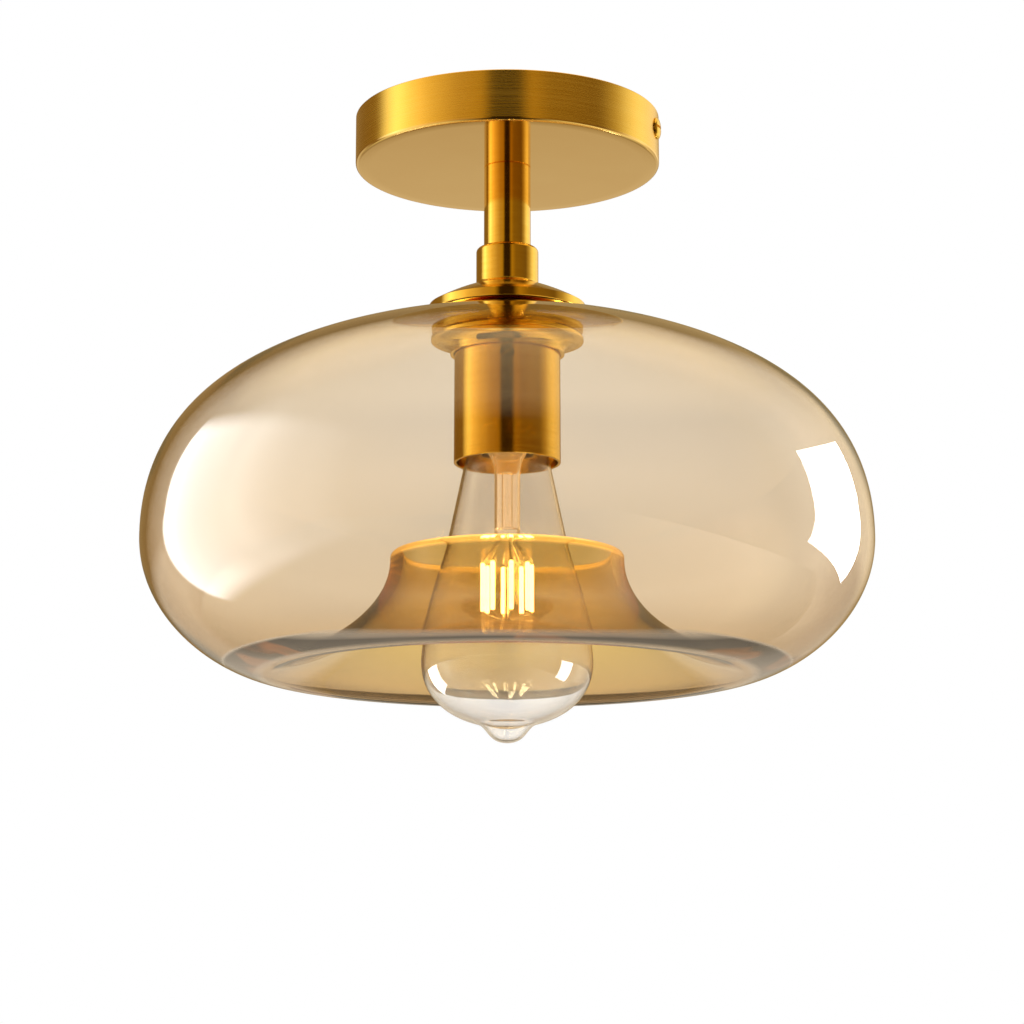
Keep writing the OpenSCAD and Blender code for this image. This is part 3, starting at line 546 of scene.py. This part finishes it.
# ---- canopy
def make_canopy():
    """Spun cup with a hole on each side for its screws. Only its wall is brushed."""
    corner = (CANOPY_R - CANOPY_ROUND, CANOPY_ROUND - CANOPY_H)
    bore, inner, edge = ROD_R + FIT, CANOPY_R - CANOPY_WALL, 0.3
    floor = CANOPY_WALL - CANOPY_H
    line = ([(bore, floor), (bore, -CANOPY_H)] + [(r, -CANOPY_H) for r in (20, 40, 54)]
            + arc(corner, CANOPY_ROUND, 270, 360, 10)
            + [(CANOPY_R, -12), (CANOPY_R, -4), (CANOPY_R, -edge), (CANOPY_R - edge, 0),
               (inner, 0), (inner, floor), (40, floor), (20, floor)])
    wall = range(15, 21)
    ob = lathe("canopy_shell", line, "fixture", (brass_face, brass_wall), 256,
               material=lambda i: int(i in wall))
    bm = bmesh.new()
    add_drill(bm, SIDE_HOLE_R, 2 * (CANOPY_R + 5),
              Matrix.Translation((0, 0, -SIDE_SCREW_Z * MM)), 48)
    cut(ob, new_object("canopy_cutter", finish_mesh("canopy_cutter", bm)))
    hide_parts("canopy")


# ---- stem, upper cap, holder, cup
def make_stem():
    foot, top, inner, edge = COLLAR_Z - STEM_SEAT, -CANOPY_H, STEM_R - STEM_WALL, 0.25
    line = [(inner, foot), (STEM_R, foot), (STEM_R, top - edge), (STEM_R - edge, top),
            (inner, top)]
    ob = lathe("stem_tube", line, "fixture", (brass,), 160)
    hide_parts("stem")


def make_cap():
    """Collar and bell-shaped flare with a straight rim, hollowed below for the gasket."""
    fillet = shoulder = COLLAR_ROUND
    bore, seat, foot, edge = ROD_R + FIT, STEM_R + FIT, COLLAR_Z - STEM_SEAT, 0.25
    pocket, hollow = GASKET_R + FIT, CAP_FOOT_Z + 1.6
    turn, reach = math.radians(255), 7
    start = (COLLAR_R + fillet * (1 + math.cos(turn)), COLLAR_FOOT_Z + fillet * math.sin(turn))
    line = ([(bore, foot), (seat, foot), (seat, COLLAR_Z)]
            + arc((COLLAR_R - shoulder, COLLAR_Z - shoulder), shoulder, 90, 0, 12)
            + arc((COLLAR_R + fillet, COLLAR_FOOT_Z), fillet, 180, 248, 12)
            + curve(start, (start[0] - reach * math.sin(turn), start[1] + reach * math.cos(turn)),
                    (CAP_R - 0.9, CAP_RIM_Z + 0.6), (CAP_R, CAP_RIM_Z), 32)
            + [(CAP_R, CAP_FOOT_Z + edge), (CAP_R - edge, CAP_FOOT_Z), (CAP_R - 1.5, CAP_FOOT_Z),
               (CAP_R - 2.6, hollow), (pocket + GASKET_RIM, hollow),
               (pocket + GASKET_RIM, CAP_FOOT_Z), (pocket, CAP_FOOT_Z), (pocket, GASKET_TOP_Z),
               (bore, GASKET_TOP_Z)])
    ob = lathe("upper_cap_turned", line, "fixture", (brass,), 192)
    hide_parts("upper_cap")


def make_holder():
    """Trumpet-shaped holder under the glass, with capsule-shaped vents through its flare."""
    rim_z = HOLDER_TOP_Z - HOLDER_RIM_H
    foot_z = rim_z - HOLDER_DROP
    rim_r = HOLDER_R - HOLDER_EDGE
    flare = rim_r - (CUP_R + CUP_GAP + HOLDER_WALL)
    rise = HOLDER_DROP + HOLDER_RIM_H - HOLDER_WALL
    n = 24

    def side(width, height, i):
        w = math.radians(90 * i / n)
        return rim_r - width * math.cos(w), foot_z + height * math.sin(w)

    line = ([(ROD_R + FIT, HOLDER_TOP_Z), (ROD_R + FIT, HOLDER_TOP_Z - HOLDER_WALL)]
            + [side(flare + HOLDER_WALL, rise, i) for i in range(n, -1, -1)]
            + [side(flare, HOLDER_DROP, i) for i in range(n + 1)]
            + [(HOLDER_R - 0.2, rim_z), (HOLDER_R, rim_z + 0.25), (HOLDER_R, HOLDER_TOP_Z - 0.3),
               (HOLDER_R - 0.3, HOLDER_TOP_Z)])
    ob = lathe("shade_holder_spun", line, "fixture", (brass,), 192)
    bm = bmesh.new()
    through, z = 20, (foot_z + VENT_RISE) * MM
    for k in range(VENT_COUNT):
        turn = Matrix.Rotation(SET_AZ - VENT_AZ + k * TAU / VENT_COUNT, 4, "Z")
        for s in (-1, 1):
            end = Matrix.Translation((VENT_DEEP * MM, s * VENT_HALF * MM, z))
            add_drill(bm, VENT_R, through, turn @ end, 32)
        size = Matrix.Diagonal((through * MM, 2 * VENT_HALF * MM, 2 * VENT_R * MM, 1))
        bmesh.ops.create_cube(
            bm, size=1, matrix=turn @ Matrix.Translation((VENT_DEEP * MM, 0, z)) @ size)
    mesh = bpy.data.meshes.new("vent_cutter")
    bm.to_mesh(mesh)
    bm.free()
    cut(ob, new_object("vent_cutter", mesh))
    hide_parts("shade_holder")


def make_cup():
    """Plain cup round the lampholder, open below, with a hole for its set screw."""
    bore, hole, under, edge = CUP_R - CUP_WALL, ROD_R + FIT, CUP_TOP_Z - CUP_WALL, 0.2
    corner = (CUP_R - CUP_ROUND, CUP_TOP_Z - CUP_ROUND)
    line = ([(hole, CUP_TOP_Z)] + arc(corner, CUP_ROUND, 90, 0, 8)
            + [(CUP_R, -105), (CUP_R, -120), (CUP_R, CUP_FOOT_Z + edge),
               (CUP_R - edge, CUP_FOOT_Z), (bore + edge, CUP_FOOT_Z), (bore, CUP_FOOT_Z + edge),
               (bore, -120), (bore, under), (hole, under)])
    ob = lathe("socket_cup_shell", line, "fixture", (brass_cup,), 192)
    bm = bmesh.new()
    place = Matrix.Translation((CUP_R * MM, 0, (CUP_TOP_Z - SET_DROP) * MM))
    add_drill(bm, SET_HOLE_R, 6, Matrix.Rotation(SET_AZ, 4, "Z") @ place, 40)
    cut(ob, new_object("cup_cutter", finish_mesh("cup_cutter", bm)))
    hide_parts("socket_cup")


# ---- glass shade
def shade_outline():
    """Section of the glass: a wall of even thickness laid off square to its middle line, which
    grows towards the lip, with a round end at the neck and a bead at the lip."""
    land0, land1 = LAND
    half = GLASS / 2

    def step(p, way, reach):
        return p[0] + way[0] * reach, p[1] + way[1] * reach

    runs = [(land1, step(land1, LAND_WAY, LAND_REACH), step(SHOULDER, CROWN_WAY, -LAND_REACH),
             SHOULDER, 8),
            (SHOULDER, step(SHOULDER, CROWN_WAY, CROWN_REACH), (BELLY[0], BELLY[1] + BELLY_UP),
             BELLY, 60),
            (BELLY, (BELLY[0], BELLY[1] - BELLY_DOWN), (FOLD[0] + FOLD_OUT, FOLD[1]), FOLD, 48),
            (FOLD, (FOLD[0] - FOLD_IN, FOLD[1]), (LIP[0], LIP[1] - LIP_CLIMB), LIP, 60)]
    middle = []
    thick = []
    for k, (a, b, c, d, count) in enumerate(runs):
        for i, p in enumerate(curve(a, b, c, d, count)):
            if k and not i:
                continue
            u = i / count if k == 3 else 0
            thick.append(half + (LIP_BEAD - half) * u * u)
            middle.append(p)
    nrm = normals(middle)
    nrm[0] = (-LAND_WAY[1], LAND_WAY[0])
    a = [(m[0] + t * q[0], m[1] + t * q[1]) for m, q, t in zip(middle, nrm, thick)]
    b = [(m[0] - t * q[0], m[1] - t * q[1]) for m, q, t in zip(middle, nrm, thick)]
    turn = math.degrees(math.atan2(nrm[-1][1], nrm[-1][0]))
    neck = math.degrees(math.atan2(LAND_WAY[0], -LAND_WAY[1]))
    bead = arc(LIP, LIP_BEAD, turn, turn - 180, 16)[1:-1]
    return arc(land0, half, neck + 180, neck, 12) + a + bead + list(reversed(b))


# ---- lamp and lampholder
def bulb_outline():
    neck_r, end_z = LAMP_CAP_R - SHEET - FIT, LAMP_CAP_FOOT_Z
    cone_top = (15.6, end_z - 2)
    cone_end = (LAMP_R - 10.6, LAMP_FOOT_Z + 80.3)
    mid = (LAMP_R, LAMP_FOOT_Z + 31.3)
    foot = (12, LAMP_FOOT_Z + 7.5)
    outer = ([(neck_r, end_z + 7), (neck_r, end_z + 3)]
             + curve((neck_r, end_z - 0.3), (neck_r, end_z - 0.9),
                     (cone_top[0] - 0.7, cone_top[1] + 1), cone_top, 8)
             + [mix(cone_top, cone_end, k / 6) for k in range(1, 6)]
             + curve(cone_end, (cone_end[0] + 2.2, cone_end[1] - 13),
                     (mid[0] - 0.8, mid[1] + 18), mid, 30)
             + curve(mid, (mid[0], mid[1] - 13), (foot[0] + 12, foot[1] + 3.2), foot, 30)[1:]
             + curve(foot, (foot[0] - 4.9, foot[1] - 1.32), (7.6, LAMP_FOOT_Z),
                     (0, LAMP_FOOT_Z), 20)[1:])
    inner = [(max(0.0, p[0] - LAMP_WALL * q[0]), p[1] - LAMP_WALL * q[1])
             for p, q in zip(outer, normals(outer))]
    inner[-1] = (0.0, LAMP_FOOT_Z + LAMP_WALL)
    return outer + list(reversed(inner))


def thinner(rows):
    """The other side of a sheet."""
    return [(p[0] - SHEET, *p[1:]) for p in rows]


def make_lamp_cap():
    """Sheet-metal screw cap with its rolled thread, drawn in at the top round the insulator."""
    r, top, bottom, hole = LAMP_CAP_R, LAMP_CAP_TOP_Z, LAMP_CAP_FOOT_Z, 5
    outer = [(r, bottom + 0.1), (r, bottom + 3), (r, bottom + 6.4)]
    outer += thread_rows(r, LAMP_THREAD, bottom + 6.6, top - 1.0, LAMP_PITCH)
    crown = [(r - 0.4, top - 0.6), (r - 1.3, top - 0.1), (r - 2.0, top), (hole, top)]
    under = [(hole, top - SHEET), (r - 2.0, top - SHEET), (r - 1.4, top - 0.6),
             (r - 0.8, top - 0.95)]
    line = ([(r - 0.2, bottom)] + outer + crown + under + list(reversed(thinner(outer)))
            + [(r - SHEET, bottom)])
    ob = lathe("lamp_cap_rolled", line, "lamp", (cap_metal,), 96)
    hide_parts("lamp_cap")


def make_screw_shell():
    """Threaded shell of the lampholder, with a plain skirt that lets the lamp's collar through."""
    r, top, bottom, hole = SCREW_SHELL_R, SCREW_SHELL_TOP_Z, SCREW_SHELL_FOOT_Z, 9
    outer = ([(r, bottom + 0.2), (r, bottom + 5.4)]
             + thread_rows(r, SHELL_THREAD, bottom + 5.8, top - 1.4, LAMP_PITCH))
    line = ([(r - 0.15, bottom)] + outer
            + [(r, top - 0.6), (r - 0.5, top), (hole, top), (hole, top - SHEET),
               (r - 0.7, top - SHEET), (r - SHEET, top - 0.8)]
            + list(reversed(thinner(outer))) + [(r - SHEET, bottom)])
    ob = lathe("screw_shell_rolled", line, "fixture", (brass_plain,), 96)
    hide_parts("screw_shell")


def make_rod():
    """Hollow rod with a fine thread from end to end."""
    top, bottom, crest, edge = ROD_TOP_Z, ROD_FOOT_Z, ROD_R - 0.02, 0.3
    line = ([(ROD_BORE, bottom + edge), (ROD_BORE + edge, bottom), (ROD_R - 0.6, bottom),
             (crest, bottom + 0.5)]
            + thread_rows(crest, ROD_THREAD, bottom + 0.6, top - 0.6, ROD_PITCH, 6)
            + [(crest, top - 0.5), (ROD_R - 0.6, top), (ROD_BORE + edge, top),
               (ROD_BORE, top - edge)])
    ob = lathe("hollow_rod_threaded", line, "fixture", (zinc,), 36, pitch=ROD_PITCH)
    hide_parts("hollow_rod")


def make_holder_shell():
    """Lower half of the lampholder: grooves under its joint and a mouth turned in over a round
    edge."""
    r, top, bottom, wall = SHELL_R, SHELL_TOP_Z, SHELL_FOOT_Z, SHELL_WALL
    first, spacing, depth, corner, lip = 2.2, 1.8, 0.3, 1.4, 0.5
    line = [(r - wall, top), (r, top)]
    for k in range(3):
        z = top - first - spacing * k
        line += [(r, z + 0.6), (r - 0.22, z + 0.3), (r - depth, z), (r - 0.22, z - 0.3),
                 (r, z - 0.6)]
    line += [(r, top - 12), (r, bottom + 6)]
    line += arc((r - corner, bottom + corner), corner, 0, -90, 8)
    line += arc((MOUTH_R + lip, bottom + lip), lip, 270, 90, 8)
    line += [(r - corner, bottom + wall), (r - wall, bottom + corner), (r - wall, bottom + 6),
             (r - wall, top - 12)]
    ob = lathe("lampholder_shell_rolled", line, "fixture", (brass_mouth,), 160)
    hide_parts("lampholder_shell")


def make_filaments():
    """Lit bars: a round coat over a thin strip, with a flat metal tab at each end."""
    foot, r = BAR_FOOT_Z, BAR_R
    top = foot + BAR_L
    tab_x, tab_y, tab_l = 0.13, 0.42, 1.6
    end = ((0, 1.1), (0.5, 1.15), (0.78, 1.4), (r, 1.9), (r, 6))
    line = [(x, foot + z) for x, z in end] + [(x, top - z) for x, z in reversed(end)]
    bm = bmesh.new()
    for i in range(BAR_COUNT):
        turn = Matrix.Rotation((i + 0.5) * TAU / BAR_COUNT, 4, "Z")
        part = bmesh.new()
        add_lathe(part, line, 20, closed=False)
        for low, high in ((foot, foot + tab_l), (top - tab_l, top)):
            for v in add_box(part, (-tab_x, -tab_y, low), (tab_x, tab_y, high)):
                for f in v.link_faces:
                    f.material_index = 1
        bmesh.ops.transform(part, matrix=turn @ Matrix.Translation((BAR_RING * MM, 0, 0)),
                            verts=part.verts)
        mesh = bpy.data.meshes.new("bar")
        part.to_mesh(mesh)
        part.free()
        bm.from_mesh(mesh)
        bpy.data.meshes.remove(mesh)
    ob = new_object("filament_bars", finish_mesh("filament_bars", bm), "lamp",
                    (filament, zinc_bright))
    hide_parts("led_filaments")


make_canopy()
make_stem()
make_cap()
make_holder()
make_cup()

shade = lathe("glass_shade_blown", shade_outline(), "fixture", (champagne,),
              288, sharp=60)
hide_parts("glass_shade")

make_lamp_cap()
make_screw_shell()
make_rod()
make_holder_shell()
make_filaments()

bulb = lathe("lamp_glass_blown", bulb_outline(), "lamp", (bulb_glass,), 160,
             sharp=60)
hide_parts("lamp_glass")


# ---- camera, set from the photographed ellipses
CAMERA_PLACE, CAMERA_TILT, CAMERA_LENS = (0.25210, -1.08380, -0.37435), 10.976, 103.0
cam_data = bpy.data.cameras.new("camera")
cam_data.lens = CAMERA_LENS
cam_data.sensor_width = 36.0
cam_data.clip_start, cam_data.clip_end = 0.05, 30
camera = bpy.data.objects.new("camera", cam_data)
bpy.context.scene.collection.objects.link(camera)
camera.location = CAMERA_PLACE
camera.rotation_euler = (math.radians(90 + CAMERA_TILT), 0, VIEW_AZ)
bpy.context.scene.camera = camera


# ---- studio
def seen_by_camera(tree):
    """1 for what the camera sees straight or through glass, 0 for reflections and soft light."""
    lp = node(tree, "ShaderNodeLightPath")
    seen = math_node(tree, "MAXIMUM", lp.outputs["Is Camera Ray"],
                     lp.outputs["Is Transmission Ray"])
    straight = math_node(tree, "LESS_THAN", lp.outputs["Glossy Depth"], 0.5)
    return lp, math_node(tree, "MULTIPLY", seen, straight)


def fold_out(tree, value):
    """0 in the middle of 0 to 1, and 1 at both ends."""
    return math_node(tree, "ABSOLUTE", math_node(
        tree, "SUBTRACT", math_node(tree, "MULTIPLY", value, 2), 1))


def turn_of(tree, x, y):
    """Azimuth as 0 to 1, with 0.5 on the camera's side and growing to its right."""
    turn = math_node(tree, "ARCTAN2", x, math_node(tree, "MULTIPLY", y, -1))
    turn = math_node(tree, "DIVIDE", math_node(tree, "SUBTRACT", turn, VIEW_AZ), TAU)
    return math_node(tree, "FRACT", math_node(tree, "ADD", turn, 1.5))


# Light that the brass reflects, by degrees from the camera's side
BANDS = ((-179, (0.36, 0.24, 0.10)), (-140, (0.24, 0.14, 0.04)), (-113, (0.28, 0.17, 0.05)),
         (-104, (1.15, 1.05, 0.85)), (-92, (1.9, 1.75, 1.45)), (-80, (1.5, 1.2, 0.8)),
         (-60, (0.98, 0.70, 0.34)), (-36, (0.56, 0.35, 0.12)), (-19, (0.48, 0.28, 0.04)),
         (-11, (0.03, 0.014, 0.001)), (9, (0.03, 0.014, 0.001)), (18, (0.46, 0.26, 0.03)),
         (32, (0.26, 0.145, 0.02)), (74, (0.20, 0.115, 0.03)), (90, (0.55, 0.40, 0.18)),
         (104, (1.05, 0.92, 0.70)), (118, (1.35, 1.20, 0.95)), (150, (1.10, 0.95, 0.70)),
         (166, (0.40, 0.28, 0.12)))
LOW_CARD, ZENITH, SKY = (0.66, 0.56, 0.42), (1.3, 1.0, 0.55), (1.25, 1.05, 0.72)
DARK, SOFT, WHITE = (0.085, 0.062, 0.045), (0.75, 0.74, 0.72), (1.0, 1.0, 1.0)


def make_world():
    """Studio round the light: one picture for reflections, one for what is seen through glass,
    an even one for soft light, and plain white for the camera."""
    world = bpy.data.worlds.new("studio")
    bpy.context.scene.world = world
    world.use_nodes = True
    t = world.node_tree
    lp, view = seen_by_camera(t)
    x, y, z = axes(t, "Generated")
    turn = turn_of(t, x, y)
    rise = math_node(t, "ADD", math_node(t, "MULTIPLY", z, 0.5), 0.5)

    # Reflections: the bands, a pale card low behind the light, dimmer below and above
    bands = ramp(t, turn, [((deg + 180) / 360, colour) for deg, colour in BANDS])
    low_card = ramp(t, rise, [(0.28, grey(0)), (0.36, grey(1)), (0.47, grey(1)), (0.52, grey(0))])
    back_card = ramp(t, turn, [(0.0, grey(1)), (0.12, grey(1)), (0.17, grey(0)),
                               (0.83, grey(0)), (0.88, grey(1)), (1.0, grey(1))])
    studio = blend(t, math_node(t, "MULTIPLY", low_card, back_card), bands, LOW_CARD)
    dim = ramp(t, rise, [(0.0, grey(0.25)), (0.25, grey(0.7)), (0.36, grey(1)), (0.72, grey(1)),
                         (0.86, grey(0.6)), (1.0, grey(0.5))])
    studio = blend(t, 1.0, studio, dim, "MULTIPLY")
    # Straight up it is warm all round
    studio = blend(t, ramp(t, rise, [(0.80, grey(0)), (0.90, grey(1))]), studio, ZENITH)

    # Through glass: a white backdrop behind, a dark gap beside it, lit side screens, a dark front
    round_view = ramp(t, fold_out(t, turn), [
        (0.155, DARK), (0.222, grey(0.85)), (0.545, grey(0.9)), (0.59, DARK), (0.76, DARK),
        (0.81, grey(1))], "EASE")
    high = ramp(t, rise, [(0.70, grey(0)), (0.80, grey(1))], "EASE")
    through = blend(t, high, round_view, SKY)

    out = blend(t, view, blend(t, lp.outputs["Is Diffuse Ray"], studio, SOFT), through)
    out = blend(t, lp.outputs["Is Camera Ray"], out, WHITE)
    link(t, out, t.nodes["Background"].inputs["Color"])


FLOOR_Z, FLOOR_HALF, FLOOR_GLOW = -1.75, 3.2, 0.30
# The floor as brass and glass reflect it, by how far a place is from the camera's side
FLOOR_CARD = ((0.0, (0.03, 0.02, 0.01)), (0.12, (0.06, 0.04, 0.015)), (0.28, (0.8, 0.68, 0.42)),
              (0.55, (1.2, 1.1, 0.85)), (0.80, (0.5, 0.42, 0.28)), (1.0, (0.25, 0.20, 0.14)))


def make_floor():
    """Pale floor. Seen straight or through glass it is white, and it keeps the light's shadow.
    Its reflection is dark in front and lit from both sides."""
    bm = bmesh.new()
    bmesh.ops.create_grid(bm, x_segments=1, y_segments=1, size=FLOOR_HALF,
                          matrix=Matrix.Translation((0, 0, FLOOR_Z)))
    m, t, b = material("floor_pale")
    b.inputs["Base Color"].default_value = (0.86, 0.86, 0.86, 1)
    b.inputs["Roughness"].default_value = 0.9
    b.inputs["Specular IOR Level"].default_value = 0.1
    lp, view = seen_by_camera(t)
    b.inputs["Emission Color"].default_value = (1, 1, 1, 1)
    link(t, math_node(t, "MULTIPLY", view, FLOOR_GLOW), b.inputs["Emission Strength"])
    x, y, _ = axes(t)
    card = node(t, "ShaderNodeEmission")
    link(t, ramp(t, fold_out(t, turn_of(t, x, y)), FLOOR_CARD), card.inputs["Color"])
    mx = node(t, "ShaderNodeMixShader")
    link(t, math_node(t, "GREATER_THAN", lp.outputs["Glossy Depth"], 0.5), mx.inputs[0])
    link(t, b.outputs[0], mx.inputs[1])
    link(t, card.outputs[0], mx.inputs[2])
    link(t, mx.outputs[0], t.nodes["Material Output"].inputs["Surface"])
    floor = new_object("floor", finish_mesh("floor", bm), mats=(m,))


def softbox(name, azimuth, elevation, distance, width, height, radiance, centre, fade=None,
            outside_only=False):
    """Area lamp aimed at a point. Azimuth is measured from the camera's side, positive to the
    right. fade gives the strength along the lamp's width, from its left edge to its right, and
    softens its top and foot. outside_only keeps it off surfaces that are seen through glass."""
    a, e = VIEW_AZ + math.radians(azimuth), math.radians(elevation)
    back = Vector((math.sin(a) * math.cos(e), -math.cos(a) * math.cos(e), math.sin(e)))
    data = bpy.data.lights.new(name, "AREA")
    data.shape, data.size, data.size_y = "RECTANGLE", width, height
    data.energy = radiance * math.pi * width * height
    ob = bpy.data.objects.new(name, data)
    bpy.context.scene.collection.objects.link(ob)
    ob.location = Vector(centre) + back * distance
    ob.rotation_mode = "QUATERNION"
    ob.rotation_quaternion = back.to_track_quat("Z", "Y")
    ob.visible_camera = False
    data.use_nodes = True
    t = data.node_tree
    lp = node(t, "ShaderNodeLightPath")
    strength = math_node(t, "LESS_THAN", lp.outputs["Transmission Depth"],
                         0.5 if outside_only else 99)
    if fade:
        geo = node(t, "ShaderNodeNewGeometry")
        sep = node(t, "ShaderNodeSeparateXYZ")
        link(t, geo.outputs["Parametric"], sep.inputs[0])
        along = ramp(t, sep.outputs[0], [(p, grey(k)) for p, k in fade], "EASE")
        ends = ramp(t, fold_out(t, sep.outputs[1]), [(0.70, grey(1)), (1.0, grey(0))], "EASE")
        strength = math_node(t, "MULTIPLY", math_node(t, "MULTIPLY", along, ends), strength)
    link(t, strength, t.nodes["Emission"].inputs["Strength"])
    return ob


def group_of(name, ob):
    group = bpy.data.collections.new(name)
    group.objects.link(ob)
    return group


make_world()
make_floor()

MIDDLE, LOW_AIM, HIGH_AIM = (0, 0, -0.16), (0, 0, -0.2), (0, 0, -0.12)
only_bulb, only_shade = group_of("only_bulb", bulb), group_of("only_shade", shade)
left = softbox("softbox_left", -86, -1, 1.25, 2.2, 2.2, 8.0, MIDDLE, outside_only=True,
               fade=((0.0, 0.0), (0.04, 0.85), (0.22, 0.75), (0.48, 0.42), (0.75, 0.15),
                     (1.0, 0.0)))
right = softbox("softbox_right", 118, 6, 1.25, 0.72, 0.84, 12.0, MIDDLE, outside_only=True)
strip_left = softbox("strip_left", -120, 0, 1.25, 0.55, 1.5, 14.0, LOW_AIM)
strip_right = softbox("strip_right", 87, 0, 1.25, 0.45, 1.5, 18.0, LOW_AIM)
for lamp, group in ((left, only_shade), (right, only_shade),
                    (strip_left, only_bulb), (strip_right, only_bulb)):
    lamp.visible_transmission = False
    lamp.light_linking.receiver_collection = group
key = softbox("key", -50, 38, 1.9, 0.9, 0.9, 5.5, HIGH_AIM)
fill = softbox("fill", 60, 25, 2.2, 1.2, 1.2, 1.8, HIGH_AIM)
for lamp in (key, fill):
    lamp.visible_glossy = lamp.visible_transmission = False

scene = bpy.context.scene
scene.view_settings.view_transform = "Standard"
scene.cycles.max_bounces = 40
scene.cycles.transmission_bounces = 36
scene.cycles.glossy_bounces = 16
scene.cycles.transparent_max_bounces = 24
scene.cycles.sample_clamp_indirect = 8.0
scene.cycles.use_denoising = True
